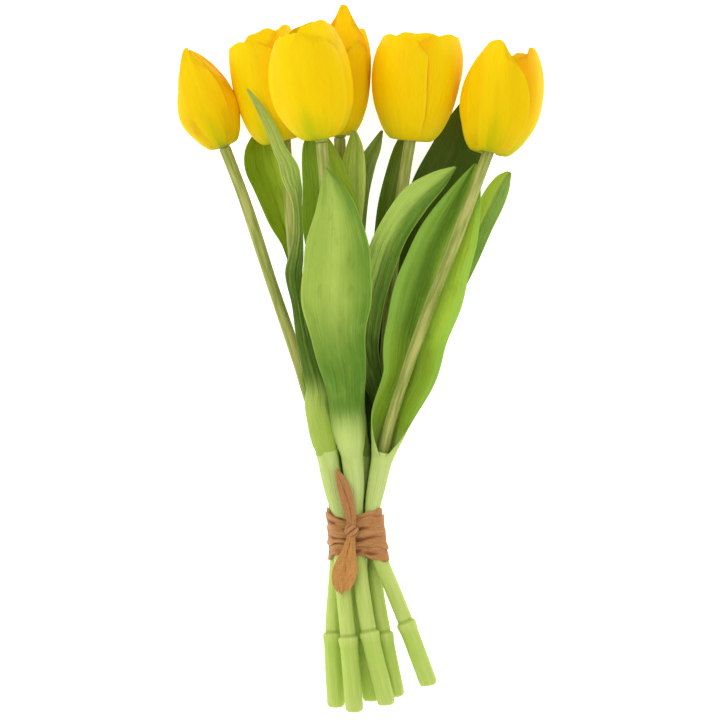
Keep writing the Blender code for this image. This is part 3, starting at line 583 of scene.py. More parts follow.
def leaf_skin(name, leaf):
    """One leaf's green: sides, streak and lower part with painted light and shade, a pale base, fine
    veins.
    """
    shade = begin(name + "_skin")
    across, reach = shade.read("across"), shade.read("reach")
    where, width, streak = leaf["streak"]
    seed = float(sum(name.encode()) % 37)
    drift = shade.grain(across * 1.2, reach * 0.03, seed, 2.0)
    bands = shade.grain(across * 13.0, reach * 0.012, seed + 9, 3.0)
    # The two sides and the streak carry painted light and shade as well as the leaf's own tones.
    green = (across + drift * 0.6 - 0.3).step(*leaf.get("split", SPLIT)).mix(
        colour(*leaf["left"]), colour(*leaf["right"]))
    centre = abs(across - where + (drift - 0.5) * 0.3)
    green = (centre.step(width * 1.5, width * 0.15) * 0.85).mix(green, colour(*streak))
    low, (low_start, low_full, high_full, high_end) = leaf["low"]
    place = reach + (bands - 0.5) * 14.0
    # The lower part is darkened with painted shade, where other leaves and stems lie over it.
    low_shade = place.step(low_start, low_full) * place.step(high_end, high_full)
    green = (low_shade * 0.9).mix(green, colour(*low))
    fine = shade.grain(across * 46.0, reach * 0.02, seed + 4, 2.0)
    light = tuple(min(1.0, part * 1.5 + 0.03) for part in colour(*leaf["left"])[:3]) + (1.0,)
    dark = tuple(part * 0.6 for part in colour(*low)[:3]) + (1.0,)
    green = (fine.step(0.52, 0.75) * 0.3).mix(green, light)
    green = (bands.step(0.46, 0.25) * 0.35).mix(green, dark)
    mottle = shade.grain(across * 3.5, reach * 0.08, seed + 15, 5.0)
    green = (mottle.step(0.5, 0.8) * 0.16).mix(green, light)
    green = (mottle.step(0.46, 0.24) * 0.3).mix(green, dark)
    inset, edge, strength = leaf.get("margin", PALE_MARGIN)
    green = (abs(across).step(inset, edge) * strength).mix(green, light)
    base, fade = leaf["base"]
    green = (place.step(*fade) * 0.97).mix(green, colour(*base))
    rough = 0.42 + bands * 0.25
    return finished(name + "_skin", green, rough, fine * 0.4 + bands + mottle * 0.8, 0.0007,
                    {"Subsurface Weight": 0.08, "Subsurface Radius": (0.4, 1.0, 0.15),
                     "Subsurface Scale": 0.002, "Specular IOR Level": 0.14})


def clasping_rows(leaf):
    """The rows of a leaf's base, drawn out of the sheath and bent round the stem."""
    layer, start = leaf.get("layer", 0), leaf["start"]
    clasp = leaf.get("clasp", (0, 0, 0))
    wraps = leaf.get("wraps", SHEATH_WRAPS)
    rows = []
    for place, wrap, stand, bend in ((start - 13 - 4 * layer, wraps[0], -0.25, 0),
                                     (start - 7, wraps[1], 0.25, 0), (start, wraps[2], 0.8, clasp[0]),
                                     (start + 8, wraps[3], 1.0, clasp[1]),
                                     (start + 16, wraps[4], 1.0, clasp[2])):
        thinning = rise(SHEATH_TOP, STALK_START, place)
        sheath = stem_radius(leaf["stem"], place)
        radius = sheath + (STALK_RADIUS - sheath) * thinning + stand
        if layer and place >= start:
            wrap *= LAYER_WRAP
        radius += LAYER_STEP * layer * rise(0.2, 0.9, stand)
        centre = stem_centre(leaf["stem"], place)
        rows.append((place, centre[0], centre[2] + leaf["side"] * radius,
                     (bend or radius) * math.radians(wrap), 0, -leaf["side"] * wrap))
    return rows


def make_leaf(name):
    """One leaf: a base that clasps the stem or is laid flat, opening into a waved, cupped blade."""
    leaf = LEAVES[name]
    start = leaf["start"]
    rows = (leaf.get("foot") or clasping_rows(leaf)) + leaf["blade"]
    height, waves, phase = leaf["wave"]
    first, last = rows[0][0], rows[-1][0]
    across = np.linspace(-1, 1, LEAF_COLUMNS + 1)
    shares = 1 - (1 - np.linspace(0, 1, LEAF_ROWS + 1))**1.15
    grid, thickness, reaches = [], [], []
    for place in first + (last - first) * shares:
        share = max(0.0, (place - start) / (last - start))
        x, z, half_width, roll, cup = between(rows, place)
        ahead = np.array([0.0, 3.0, 0.0])
        ahead[[0, 2]] = (between(rows, place + 1.5) - between(rows, place - 1.5))[:2]
        side, over = square_to(unit(ahead))
        turn = math.radians(roll)
        side, over = (side * math.cos(turn) + over * math.sin(turn),
                      over * math.cos(turn) - side * math.sin(turn))
        bend = math.radians(cup)
        bend = bend if abs(bend) > LEAST_BEND else LEAST_BEND
        half_width = max(half_width, LEAST_HALF_WIDTH)
        lift = half_width * (1 - np.cos(across * bend)) / bend
        reach = half_width * np.sin(across * bend) / bend
        open_blade = math.sin(math.pi * min(share, 1))
        ripple = height * across * np.abs(across) * open_blade
        lift = lift + ripple * np.sin(math.tau * waves * share + phase + across)
        frill = FRILL_HEIGHT * np.abs(across)**4 * open_blade * min(1, half_width / 6)
        frill_turn = math.tau * (FRILL_WAVES * waves * share + 0.2 * np.sign(across)) + 2 * phase
        lift = lift + frill * np.sin(frill_turn)
        depth = leaf.get("groove", GROOVE_DEPTH) * rise(0.0, 0.2, share) * (1 - share**6)
        fold = -math.copysign(depth, cup if cup else 1)
        lift = lift + fold * (np.exp(-(across / 0.11)**2) + 0.18 * np.cos(across * 15))
        reach = reach * (1 + 0.02 * np.sin(math.tau * 4.3 * share + phase))
        grid.append(np.array([x, place, z]) + reach[:, None] * side + lift[:, None] * over)
        body = EDGE_THICKNESS + RIB_THICKNESS * (1 - np.abs(across)**3)
        swell = 0.35 + 0.65 * rise(first - 1, start + 2, place)
        thickness.append(body * swell * (1 - 0.5 * share**4))
        reaches.append(np.full_like(across, place))
    points, faces = sheet_grid(np.array(grid), np.array(thickness))
    values = {"reach": both(reaches), "across": both([across] * len(grid))}
    piece = make_piece(name + "_blade", points, faces, leaf_skin(name, leaf), values)
    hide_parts(name)


for leaf_name in LEAVES:
    make_leaf(leaf_name)

# The blooms. Each has three outer and three inner satin petals, lapped round a green pistil and six
# dark-tipped stamens, on a short green receptacle. The petals are green-yellow at the root, carry a
# warm orange painted shade where they lie in each other's folds, and a painted highlight along their
# thin edges.
PETAL_SHARES = np.linspace(0, 1, 45)**1.25
PETAL_ACROSS = np.linspace(-1, 1, 31)
PETAL_THICKNESS = 0.7
WHORL_STEP = 1.7
LAP_LIFT = 0.8
TIP_FLARE = 1.2
OUTER_ROOT = 2.4
INNER_ROOT = 4.2
ROOT_RADIUS = 4.0
SAG_SHARE = 0.085
STALK_GAP = 0.35
# The furthest that a petal reaches round to either side, in radians, at its root and above it.
ROOT_REACH = 1.15
OPEN_REACH = 1.3
SCALLOP_DEPTH = 0.022
FLUTE_DEPTH = 0.35
GROOVE_SUNK = 0.45
EDGE_BEAD = 0.25
TIP_WAVE = 0.3
SEAM = 0.45
# How strong the painted shade is where a petal's edge lies under its neighbour.
LAP_FOLD_SHADE = 0.65
# How wide a petal is, and how far out it stands, at each share of its length.
ROOT_WIDTHS = [(0, 0.2), (0.07, 0.5), (0.18, 0.8), (0.36, 0.97)]
BLUNT_WIDTHS = ROOT_WIDTHS + [(0.58, 1.0), (0.8, 0.97), (0.93, 0.86), (1, 0.68)]
POINTED_WIDTHS = ROOT_WIDTHS + [(0.58, 0.92), (0.8, 0.64), (1, 0.14)]
BUD_PROFILE = [(0, 0.10), (0.03, 0.33), (0.09, 0.54), (0.2, 0.8), (0.36, 1.0), (0.55, 0.93),
               (0.73, 0.7), (0.87, 0.45), (0.95, 0.27), (1, 0.12), (1.2, 0.1)]
FULL_PROFILE = [(0, 0.10), (0.03, 0.42), (0.09, 0.68), (0.18, 0.9), (0.34, 1.0), (0.6, 1.02),
                (0.82, 0.97), (1, 0.84), (1.2, 0.7)]
CUP_PROFILE = [(0, 0.10), (0.03, 0.33), (0.09, 0.52), (0.18, 0.72), (0.34, 0.91), (0.6, 1.0),
               (0.82, 0.96), (1, 0.8), (1.2, 0.62)]
# What is said of each bloom:
#   stem      the stem that carries it
#   radius    its radius where it is widest
#   press     how far its neighbours squeeze it sideways: 1 is not at all
#   bow       how far its middle is pushed towards +x
#   opening   how far its petals stand open at the top: 0 is a closed bud, and 1 a cup
#   full      that it swells lower down than the others
#   sag       how far its outer petals hang back past their root
#   skew      how far the tip of its front petal leans round, in degrees
#   tight     how much of the usual room there is between its petals
#   drop      how far the petals' corners fall, as a share of their length
#   scallop   how deep their upper edges are notched
#    seam      where across the second petal the painted shade of its seam starts
#   flame     how strong the green flame up the petals is
#   body      their yellow
#    petals    three outer and then three inner, in rows of the way that each faces (in degrees from
#              straight up, towards +x), its spread, how pointed it is, how long, and how much painted
#              shade it takes in its folds
BLOOMS = {
    "bloom_1": dict(
        stem="stem_1", bow=-0.7, radius=17.0, opening=0.02, sag=4.4, skew=-12, tight=0.45, drop=0.17,
        flame=0.45, body=(252, 205, 2),
        petals=[(-8, 0.84, 0.9, 1.0, 0.05), (92, 1.22, 0.8, 0.93, 0.35), (-115, 1.36, 0.9, 0.9, 0.1),
                (40, 1.0, 0.8, 0.97, 0.8), (168, 1.0, 1, 0.86, 0.5), (-68, 0.95, 1, 0.86, 0.3)]),
    "bloom_2": dict(
        stem="stem_2", radius=21.4, press=0.94, opening=1.0, full=True, sag=7.5, tight=1.0,
        drop=0.13, scallop=0.45, flame=0.4, body=(252, 210, 0),
        petals=[(-42, 1.2, 0, 0.92, 0.0), (70, 1.2, 0, 0.975, 0.2), (190, 1.2, 0, 0.92, 0.1),
                (10, 1.15, 0, 0.98, 0.25), (130, 1.15, 0, 0.96, 0.3), (-110, 1.15, 0, 0.91, 0.2)]),
    "bloom_3": dict(
        stem="stem_3", radius=23.4, opening=0.76, sag=3.4, tight=0.8, drop=0.14, scallop=0.35,
        flame=0.55, body=(255, 208, 0),
        petals=[(-21, 1.22, 0, 0.985, 0.0), (99, 1.26, 0, 0.98, 0.15), (219, 1.26, 0, 0.94, 0.1),
                (39, 1.2, 0, 1.06, 0.1), (159, 1.2, 0, 1.04, 0.2), (-81, 1.2, 0, 0.97, 0.2)]),
    "bloom_4": dict(
        stem="stem_4", radius=17.8, press=0.97, opening=0.88, sag=4.0, tight=0.8, drop=0.17,
        scallop=0.1, flame=0.3, body=(252, 208, 0),
        petals=[(68, 1.15, 0.4, 0.97, 0.05), (188, 1.15, 0.3, 0.97, 0.2),
                (308, 1.15, 0.1, 0.99, 0.05), (128, 1.1, 0.5, 1.0, 0.4), (248, 1.1, 0.5, 1.0, 0.4),
                (8, 1.25, 0.85, 1.18, 0.45)]),
    "bloom_5": dict(
        stem="stem_5", radius=24.7, opening=1.0, sag=7.0, tight=0.8, drop=0.06, scallop=0.4,
        flame=0.35, body=(255, 208, 0),
        petals=[(-56, 1.2, 0, 0.985, 0.0), (64, 1.22, 0, 1.04, 0.0), (184, 1.22, 0, 0.99, 0.1),
                (4, 1.15, 0, 1.03, 0.1), (124, 1.15, 0, 1.02, 0.2), (-116, 1.15, 0, 0.98, 0.2)]),
    "bloom_6": dict(
        stem="stem_6", bow=1.3, radius=23.4, opening=0.64, sag=6.8, skew=-32, seam=-0.02, tight=0.65,
        drop=0.17, scallop=0.2, flame=0.45, body=(255, 206, 0),
        petals=[(-2, 0.86, 0.5, 1.0, 0.0), (67, 1.4, 0.62, 1.0, 0.25), (-113, 1.42, 0.6, 0.93, 0.1),
                (40, 1.0, 0.3, 0.93, 0.6), (172, 1.08, 0.5, 0.92, 0.3), (-64, 1.0, 0.5, 0.93, 0.1)]),
}
# Which of its two edges each petal lays over its neighbours: 1 over, -1 under.
OUTER_LAPS = ((1, 1), (-1, 1), (-1, -1))
INNER_LAPS = ((-1, 1), (-1, 1), (-1, 1))


def petal_skin(name, bloom):
    """Yellow satin, green at the root, with fine veins, painted shade in the folds and a painted edge
    highlight.
    """
    shade = begin(name + "_skin")
    along, across, painted_fold_shade, petal = (shade.read(part) for part in ("along", "across", "painted_fold_shade", "petal"))
    fine = shade.grain(across * 30.0 * (1.15 - along * 0.3), along * 1.4, petal * 5.0, 3.0)
    broad = shade.grain(across * 3.0, along * 1.2, petal * 9.0 + 2.0, 2.0)
    yellow = (broad.step(0.3, 0.7) * 0.5).mix(colour(*bloom["body"]), colour(255, 216, 4))
    yellow = (fine.step(0.55, 0.8) * 0.3).mix(yellow, colour(255, 226, 48))
    yellow = (fine.step(0.45, 0.2) * 0.25).mix(yellow, colour(246, 188, 0))
    # The warm orange is painted shade, standing in for light bounced and shadowed between lapped
    # petals.
    yellow = painted_fold_shade.mix(yellow, colour(249, 166, 0))
    flame = (along + abs(across) * 0.3 + (fine - 0.5) * 0.1 + (broad - 0.5) * 0.25).step(0.52, 0.02)
    yellow = (flame * bloom["flame"] * 1.6).step(0.0, 1.0).mix(yellow, colour(190, 194, 4))
    root = (along + abs(across) * 0.1).step(0.14, 0.0)
    yellow = (root * 0.8).mix(yellow, colour(150, 172, 20))
    # A painted highlight along the petals' thin edges, where light would catch them.
    rim = abs(across).step(0.95, 1.0) * along.step(0.97, 0.8)
    yellow = (rim * 0.22).mix(yellow, colour(255, 226, 74))
    rough = 0.46 + broad * 0.14
    return finished(name + "_skin", yellow, rough, fine, 0.0005,
                    {"Subsurface Weight": 0.2, "Subsurface Radius": (1.0, 0.7, 0.1),
                     "Subsurface Scale": 0.004, "Specular IOR Level": 0.06})


def shape_petal(bloom, petal, length):
    """One petal: rows of level, radius, turn and bow across it, its thickness and its painted fold
    shade.
    """
    facing_turn, spread, pointed, long, fold_shade_level = bloom["petals"][petal]
    profile = FULL_PROFILE if bloom.get("full") else CUP_PROFILE
    across, edge = PETAL_ACROSS, np.abs(PETAL_ACROSS)
    inner = petal >= 3
    face = math.radians(facing_turn)
    root = INNER_ROOT if inner else OUTER_ROOT
    laps = INNER_LAPS[petal - 3] if inner else OUTER_LAPS[petal]
    lap = np.where(across < 0, laps[0], laps[1]) * edge**1.4
    sag = 0 if inner else bloom["sag"]
    skew = math.radians(bloom.get("skew", 0)) if petal == 0 else 0
    seam = bloom.get("seam", SEAM) if petal == 1 else SEAM
    rows, thickness, painted_fold_shade = [], [], []
    for share in PETAL_SHARES:
        fade = min(1, share * 4)
        # How far up the bloom: the corners fall, the edge is notched and the root hangs back.
        drop = bloom["drop"] * edge**3 * share**3
        scallop = bloom.get("scallop", 0) * SCALLOP_DEPTH * share**7
        drop = drop + scallop * (1 - np.cos(across * 7.5 + petal * 1.7))
        height = share * (1 - drop)
        level = root + (long * length - root) * height
        level = level - sag * share / SAG_SHARE * math.exp(1 - share / SAG_SHARE)
        # How far out, before the laps: between a closed bud and a cup.
        closed = np.array([between(BUD_PROFILE, part)[0] for part in height])
        open_cup = np.array([between(profile, part)[0] for part in height])
        out = bloom["radius"] * (closed + (open_cup - closed) * bloom["opening"])
        # How far round: as far as the petal's width reaches at that radius.
        width = ((1 - pointed) * between(BLUNT_WIDTHS, share)[0]
                 + pointed * between(POINTED_WIDTHS, share)[0])
        half_width = bloom["radius"] * spread * width
        widest = ROOT_REACH if share < 0.1 else max(OPEN_REACH, spread)
        turn = face + skew * share**2 + across * np.minimum(half_width / out, widest)
        # The laps, the two whorls, the flutes, the middle groove and the thin, beaded edge.
        out = ROOT_RADIUS + (out - ROOT_RADIUS) * min(1, share * 15)
        out = out + fade * LAP_LIFT * bloom["tight"] * lap * (1 - 0.75 * share**4)
        if inner:
            out = out - fade * WHORL_STEP * bloom["tight"]
        else:
            out = out + TIP_FLARE * bloom["tight"] * share**3 * (1 - edge**2)
        out = out + fade * FLUTE_DEPTH * np.sin(5 * turn + 7 * height)
        groove = GROOVE_SUNK * np.exp(-(across / 0.13)**2)
        out = out - groove * rise(0.15, 0.5, share) * (0.4 + 0.6 * share)
        out = out + EDGE_BEAD * edge**8 * fade * (1 - share**3)
        out = out + TIP_WAVE * share**2 * np.sin(across * 9 + petal * 2.1)
        bow = bloom.get("bow", 0) * fade * np.sin(math.pi * np.clip(height, 0, 1)**0.6)
        rows.append((level, out, turn, bow))
        thickness.append(PETAL_THICKNESS * (1 - 0.55 * edge**3) * (1 - 0.45 * share**4))
        # Painted fold shade, warm orange: where a neighbour lies over the edge, and a little inside
        # of where it lies under.
        under = np.where(lap < 0, rise(seam, seam + 0.55, edge),
                         0.25 * rise(0.9, 0.6, edge) * rise(0.3, 0.6, edge))
        lapped = LAP_FOLD_SHADE * under * rise(0.15, 0.5, share)
        painted_fold_shade.append(np.clip(fold_shade_level * (0.35 + 0.65 * edge) + lapped, 0, 1)
                    * rise(0.05, 0.3, share))
    return rows, np.array(thickness), painted_fold_shade


def make_bloom(name):
    """One bloom: its petals as one piece, then the receptacle, pistil and stamens."""
    bloom = BLOOMS[name]
    base = stem_centre(bloom["stem"], STEMS[bloom["stem"]]["route"][-1][0])
    crown = np.array(STEMS[bloom["stem"]]["crown"])
    length = float(np.linalg.norm(crown - base))
    axis = unit(crown - base)
    base = base + axis * STALK_GAP
    facing = unit(np.array([0, 0, 1.0]) - axis * axis[2])
    sideways = np.cross(axis, facing)
    points, faces, values = [], [], {"along": [], "across": [], "painted_fold_shade": [], "petal": []}
    for petal in range(len(bloom["petals"])):
        rows, thickness, painted_fold_shade = shape_petal(bloom, petal, length)
        grid = []
        for level, out, turn, bow in rows:
            pressed = np.sin(turn)[:, None] * bloom.get("press", 1)
            way = facing * np.cos(turn)[:, None] + sideways * pressed
            grid.append(base + axis * level[:, None] + out[:, None] * way + bow[:, None] * sideways)
        own_points, own_faces = sheet_grid(np.array(grid), thickness)
        offset = sum(len(part) for part in points)
        points.append(own_points)
        faces += [tuple(corner + offset for corner in corners) for corners in own_faces]
        values["along"].append(both([np.full_like(PETAL_ACROSS, share) for share in PETAL_SHARES]))
        values["across"].append(both([PETAL_ACROSS] * len(PETAL_SHARES)))
        values["painted_fold_shade"].append(both(painted_fold_shade))
        values["petal"].append(np.full(len(own_points), petal))
    values = {part: np.concatenate(value) for part, value in values.items()}
    petals = make_piece(name + "_petals", np.concatenate(points), faces, petal_skin(name, bloom),
                        values)
    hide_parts(name)
    make_heart(name, base, axis, facing, sideways)


def round_piece(name, finish, base, axis, facing, sideways, profile, sides, lobes=0, lobe_depth=0.0):
    """A turned form along an axis: its profile is rows of level and radius, with lobes round it."""
    turns = math.tau * np.arange(sides) / sides
    swell = 1 + lobe_depth * np.cos(lobes * turns)
    rings = [base + axis * level + radius * swell[:, None]
             * (np.cos(turns)[:, None] * facing + np.sin(turns)[:, None] * sideways)
             for level, radius in profile]
    levels = np.repeat([level for level, _ in profile], sides)
    piece = make_piece(name, np.concatenate(rings), ring_faces(len(rings), sides), finish,
                       {"level": levels, "turn": np.tile(np.cos(turns * 3) * 2, len(rings))}, 60)


def heart_skin(name, low, high, tip):
    """A fleshy part of the flower's heart: low is its colour at the foot, high from tip upwards."""
    shade = begin(name)
    level, turn = shade.read("level"), shade.read("turn")
    speck = shade.grain(turn * 3.0, level * 0.8, 1.7, 3.0)
    flesh = level.step(0.0, tip).mix(colour(*low), colour(*high))
    flesh = (speck.step(0.5, 0.8) * 0.35).mix(flesh, colour(230, 232, 150))
    return finished(name, flesh, 0.5 + speck * 0.2, speck, 0.0003, {"Specular IOR Level": 0.3})


receptacle_finish = heart_skin("receptacle_skin", (160, 172, 70), (150, 176, 24), 5.0)
pistil_finish = heart_skin("pistil_skin", (150, 180, 60), (206, 212, 120), 24.0)
filament_finish = heart_skin("filament_skin", (220, 214, 90), (196, 188, 60), 20.0)
anther_finish = heart_skin("anther_skin", (60, 52, 30), (84, 70, 36), 26.0)

STAMENS = 6
STAMEN_RING = 4.0
STAMEN_LEAN = 0.12


def make_heart(name, base, axis, facing, sideways):
    """The receptacle under the petals, and the pistil and stamens inside them."""
    round_piece(name + "_receptacle", receptacle_finish, base, axis, facing, sideways,
                [(-0.2, 2.2), (0, 3.1), (0.5, 3.5), (1.4, 3.9), (2.8, 4.2), (4.2, 4.6), (5.0, 4.3),
                 (5.4, 3.2), (5.5, 1.2)], 24, 6, 0.03)
    round_piece(name + "_pistil", pistil_finish, base, axis, facing, sideways,
                [(3, 2.0), (6, 2.6), (12, 2.75), (17, 2.4), (20, 1.8), (21.6, 2.3), (22.8, 3.4),
                 (24.2, 3.9), (25.2, 3.3), (25.8, 2.0), (26, 0.6)], 24, 3, 0.16)
    for stamen in range(STAMENS):
        turn = math.tau * (stamen + 0.5) / STAMENS
        outward = math.cos(turn) * facing + math.sin(turn) * sideways
        lean = unit(axis + STAMEN_LEAN * outward)
        foot = base + STAMEN_RING * outward
        beside = unit(np.cross(lean, facing if abs(math.cos(turn)) < 0.7 else sideways))
        around = np.cross(lean, beside)
        round_piece(f"{name}_filament_{stamen + 1}", filament_finish, foot, lean, beside, around,
                    [(3, 0.8), (8, 0.7), (13, 0.5), (15.5, 0.3)], 8)
        round_piece(f"{name}_anther_{stamen + 1}", anther_finish, foot, lean, beside, around,
                    [(14, 0.3), (14.6, 0.9), (17, 1.15), (20, 1.05), (22, 0.7), (22.6, 0.2)],
                    12, 2, 0.22)


for bloom_name in BLOOMS:
    make_bloom(bloom_name)

# The ribbon. A strip of tan crepe paper goes twice round the stems and is knotted over them: the
# wraps crease as they gather into the knot, one loose end lies towards the heads, and the other,
# spread wider, towards the cut ends.
TIE_THICKNESS = 0.45
TIE_GAP = 0.5
WRAP_STEPS = 176
WRAP_ROWS = 26
GATHER_REACH = 9.0
# The wraps gather where they pass nearest to this point over the stems, given as x and z.
OVER_KNOT = (-6.0, 40.0)


def crepe(name, low, high):
    """Tan crepe paper: fine crinkles, painted shade in the creases, and a painted highlight on the
    ridges.
    """
    shade = begin(name)
    along, across, crease = shade.read("along"), shade.read("across"), shade.read("crease")
    crinkle = shade.grain(along * 0.35, across * 2.6, 2.3, 5.0)
    fleck = shade.grain(along * 1.6, across * 1.8, 7.9, 4.0)
    paper = fleck.step(0.3, 0.7).mix(colour(*low), colour(*high))
    paper = (crinkle.step(0.5, 0.8) * 0.5).mix(paper, colour(226, 172, 112))
    paper = (crinkle.step(0.48, 0.25) * 0.5).mix(paper, colour(150, 94, 46))
    # Painted shade in the creases, and a painted highlight on the ridges between them.
    paper = (crease.step(0.3, 1.0) * 0.75).mix(paper, colour(114, 62, 28))
    paper = (crease.step(-0.3, -1.0) * 0.3).mix(paper, colour(222, 166, 106))
    return finished(name, paper, 0.72 + fleck * 0.2, crinkle + fleck * 0.5, 0.0007,
                    {"Specular IOR Level": 0.2, "Sheen Weight": 0.1})


crepe_finish = crepe("crepe_paper", (180, 122, 68), (202, 144, 88))
tail_finish = crepe("crepe_paper_thin", (194, 134, 66), (214, 156, 86))


def bundle_outline(place):
    """The tight outline round the tied stems at a place along y, as x and z, evenly spaced."""
    turns = math.tau * np.arange(360) / 360 + math.radians(100)
    ways = np.stack([np.cos(turns), np.sin(turns)], axis=1)
    reach = []
    for name in STEMS:
        centre = stem_centre(name, place)[[0, 2]]
        radius = stem_radius(name, place) + TIE_GAP + TIE_THICKNESS / 2
        reach.append((ways @ centre + radius, centre, radius))
    best = np.argmax([row[0] for row in reach], axis=0)
    line = np.array([reach[best[i]][1] + reach[best[i]][2] * ways[i] for i in range(len(ways))])
    loop = np.concatenate([line, line[:1]])
    run = np.concatenate([[0], np.cumsum(np.linalg.norm(np.diff(loop, axis=0), axis=1))])
    even = np.linspace(0, run[-1], WRAP_STEPS + 1)[:-1]
    line = np.stack([np.interp(even, run, loop[:, part]) for part in (0, 1)], axis=1)
    for _ in range(3):
        line = (np.roll(line, 1, 0) + 2 * line + np.roll(line, -1, 0)) / 4
    return line, run[-1]


def make_wrap(name, low, high, stand, tilt, pleats, phase):
    """One turn of the ribbon round the stems, gathered where it meets the knot.

    stand is how far it lies off the stems, tilt how far it climbs on its way round, and pleats how
    many folds run along it.
    """
    middle, half = (low + high) / 2, (high - low) / 2
    rows = np.linspace(-1, 1, WRAP_ROWS + 1)
    outlines = {}
    grid = np.zeros((WRAP_ROWS + 1, WRAP_STEPS, 3))
    crease = np.zeros((WRAP_ROWS + 1, WRAP_STEPS))
    line, around = bundle_outline(middle)
    knot_step = int(np.argmin(np.linalg.norm(line - OVER_KNOT, axis=1)))
    from_knot = ((np.arange(WRAP_STEPS) - knot_step + WRAP_STEPS // 2) % WRAP_STEPS
                 - WRAP_STEPS // 2)
    distance = from_knot * around / WRAP_STEPS
    gather = np.exp(-(distance / GATHER_REACH)**2)
    beside_knot = (np.exp(-((distance - GATHER_REACH) / GATHER_REACH)**2)
                   + np.exp(-((distance + GATHER_REACH) / GATHER_REACH)**2) * 0.4)
    for index, row in enumerate(rows):
        wobble = (0.55 * np.sin(distance * 0.33 + 2 * row + phase)
                  + 0.35 * np.sin(distance * 0.81 + 5 * row))
        place = (middle + row * half * (1 - 0.34 * gather) - 1.5 * gather + wobble * abs(row)
                 + tilt * np.sin(distance / around * math.tau))
        fan = row * (0.55 + 0.45 * (1 - gather))
        wave = np.sin(math.pi * pleats * (row + 0.12 * np.sin(distance * 0.21 + phase)) + phase)
        wave = wave + 0.6 * np.sin(math.pi * (pleats * 1.9) * fan + distance * 0.16 + 2 * phase)
        depth = 0.24 + 0.5 * gather + 0.55 * beside_knot + 0.18 * np.sin(distance * 0.27 + phase)
        relief = wave * depth * 0.5
        for step in range(WRAP_STEPS):
            # The bundle's outline is worked out once for every half millimetre along it.
            key = round(float(place[step]) * 2) / 2
            if key not in outlines:
                outlines[key] = bundle_outline(key)[0]
            own = outlines[key]
            edge = own[(step + 1) % WRAP_STEPS] - own[step - 1]
            outward = np.array([edge[1], -edge[0]]) / max(np.hypot(*edge), 1e-6)
            spot = own[step] + outward * (stand + relief[step])
            grid[index, step] = (spot[0], place[step], spot[1])
        crease[index] = -wave * (0.4 + 0.6 * np.minimum(gather + beside_knot, 1))
    thickness = np.full(grid.shape[:2], TIE_THICKNESS)
    points, faces = sheet_grid(grid, thickness, closed=True)
    along = np.tile(distance, (WRAP_ROWS + 1, 1))
    across = np.repeat(rows[:, None] * half, WRAP_STEPS, axis=1)
    piece = make_piece(name, points, faces, crepe_finish,
                       {"along": both(along), "across": both(across), "crease": both(crease)})
    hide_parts("tie_ribbon")


make_wrap("ribbon_under_wrap", TIE_LOW, TIE_HIGH, stand=0.15, tilt=0.5, pleats=3.0, phase=0.4)
make_wrap("ribbon_over_wrap", -105.5, -87.0, stand=0.95, tilt=1.2, pleats=2.2, phase=1.9)

TAIL_ROWS = 48
TAIL_COLUMNS = 40


def make_tail(name, rows, finish):
    """One loose end of the ribbon: a strip with folds along it, from the knot to its cut end."""
    across = np.linspace(-1, 1, TAIL_COLUMNS + 1)
    grid, crease, runs = [], [], []
    run = 0.0
    before = np.array(rows[0][1:4])
    for share in np.linspace(0, 1, TAIL_ROWS + 1):
        x, y, z, half_width, fold = between(rows, share)
        ahead = unit((between(rows, share + 0.03) - between(rows, share - 0.03))[:3])
        side, over = square_to(ahead)
        main = np.exp(-((across - 0.12 * math.sin(5 * share)) / 0.16)**2)
        second = (np.exp(-((across - 0.55 + 0.2 * share) / 0.14)**2)
                  * (0.5 + 0.5 * math.sin(7 * share + 1)))
        third = (np.exp(-((across + 0.5 - 0.1 * share) / 0.12)**2)
                 * (0.5 + 0.5 * math.cos(6 * share)))
        crumple = 0.25 * np.sin(11 * across + 9 * share) * np.sin(23 * share + 4 * across)
        wave = 0.45 - main - 0.7 * second - 0.6 * third + crumple
        lift = fold * wave / 2 + 0.25 * np.sin(9 * share + 3 * across)
        ragged = (1.2 * np.sin(5 * across + 1) + 0.8 * across + 0.5 * np.sin(17 * across)) * share**6
        centre = np.array([x, y, z])
        grid.append(centre + side * (half_width * across)[:, None] + over * lift[:, None]
                    + ahead * ragged[:, None])
        crease.append(-wave * 0.9)
        run += float(np.linalg.norm(centre - before))
        before = centre
        runs.append(np.full_like(across, run))
    points, faces = sheet_grid(np.array(grid), np.full((len(grid), len(across)), TIE_THICKNESS))
    piece = make_piece(name, points, faces, finish,
                       {"along": both(runs), "across": both([across * 5] * len(grid)),
                        "crease": both(crease)})
    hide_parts("tie_ribbon")


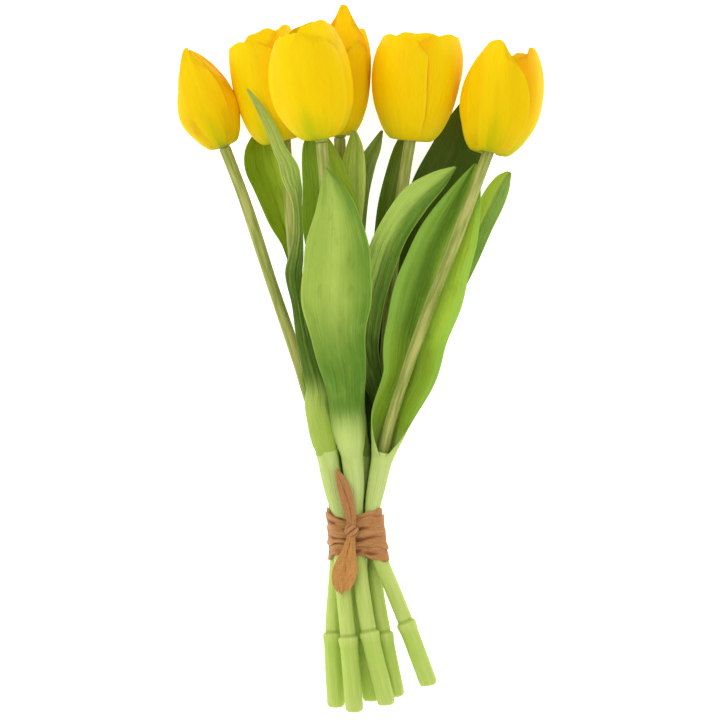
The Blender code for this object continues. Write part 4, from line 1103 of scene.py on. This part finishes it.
# The rows of a tail: the share of its length, then x, y, z, half width and depth of fold.
make_tail("ribbon_upper_tail", [
    (0, -4.2, -95.0, 26.4, 1.8, 1.0), (0.25, -5.4, -87.5, 27.4, 3.2, 1.6),
    (0.55, -7.8, -77, 28.2, 3.6, 1.8), (0.8, -10.6, -68.5, 28.0, 2.8, 1.4),
    (1, -12.9, -62.3, 27.4, 0.9, 0.5)], crepe_finish)
make_tail("ribbon_lower_tail", [
    (0, -4.6, -98.0, 26.4, 1.8, 1.0), (0.28, -6.2, -107.5, 26.4, 3.8, 1.8),
    (0.6, -8.2, -118, 25.2, 6.8, 1.8), (0.82, -9.7, -125.6, 24.4, 6.2, 1.6),
    (1, -10.0, -131.2, 24.0, 3.2, 1.2)], tail_finish)

KNOT_PLEATS = 6
KNOT_TWIST = 0.9
KNOT_BROADENED = 1.05
KNOT_FLATTENED = 0.66


def make_knot():
    """The knot: the strip drawn over itself, in pleats that twist as they are pulled tight."""
    route = [(0, -6.8, -99.8, 24.6, 1.8), (0.2, -6.2, -98.8, 25.4, 2.9),
             (0.5, -4.7, -96.6, 25.8, 3.4), (0.8, -3.2, -94.5, 25.4, 2.9),
             (1, -2.4, -93.5, 24.6, 1.8)]
    sides, rings = 72, 22
    turns = math.tau * np.arange(sides) / sides
    slant = unit(np.array([5.8, 7.0, 0.0]))
    beside = unit(np.cross(slant, [0, 0, 1]))
    grid, crease = [], []
    for share in np.linspace(0, 1, rings + 1):
        x, y, z, size = between(route, share)
        pleat = np.cos(KNOT_PLEATS * (turns + KNOT_TWIST * (share - 0.5)))
        swell = size * (1 + 0.11 * pleat + 0.04 * np.cos(13 * turns + 5 * share))
        grid.append(np.array([x, y, z]) + beside * (swell * np.cos(turns) * KNOT_BROADENED)[:, None]
                    + np.array([0, 0, 1.0]) * (swell * np.sin(turns) * KNOT_FLATTENED)[:, None])
        crease.append(-pleat)
    values = {"along": np.repeat(np.linspace(0, 12, rings + 1), sides),
              "across": np.tile(turns * 4, rings + 1), "crease": crease}
    piece = make_piece("ribbon_knot", np.concatenate(grid), ring_faces(rings + 1, sides),
                       crepe_finish, values)
    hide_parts("tie_ribbon")


make_knot()
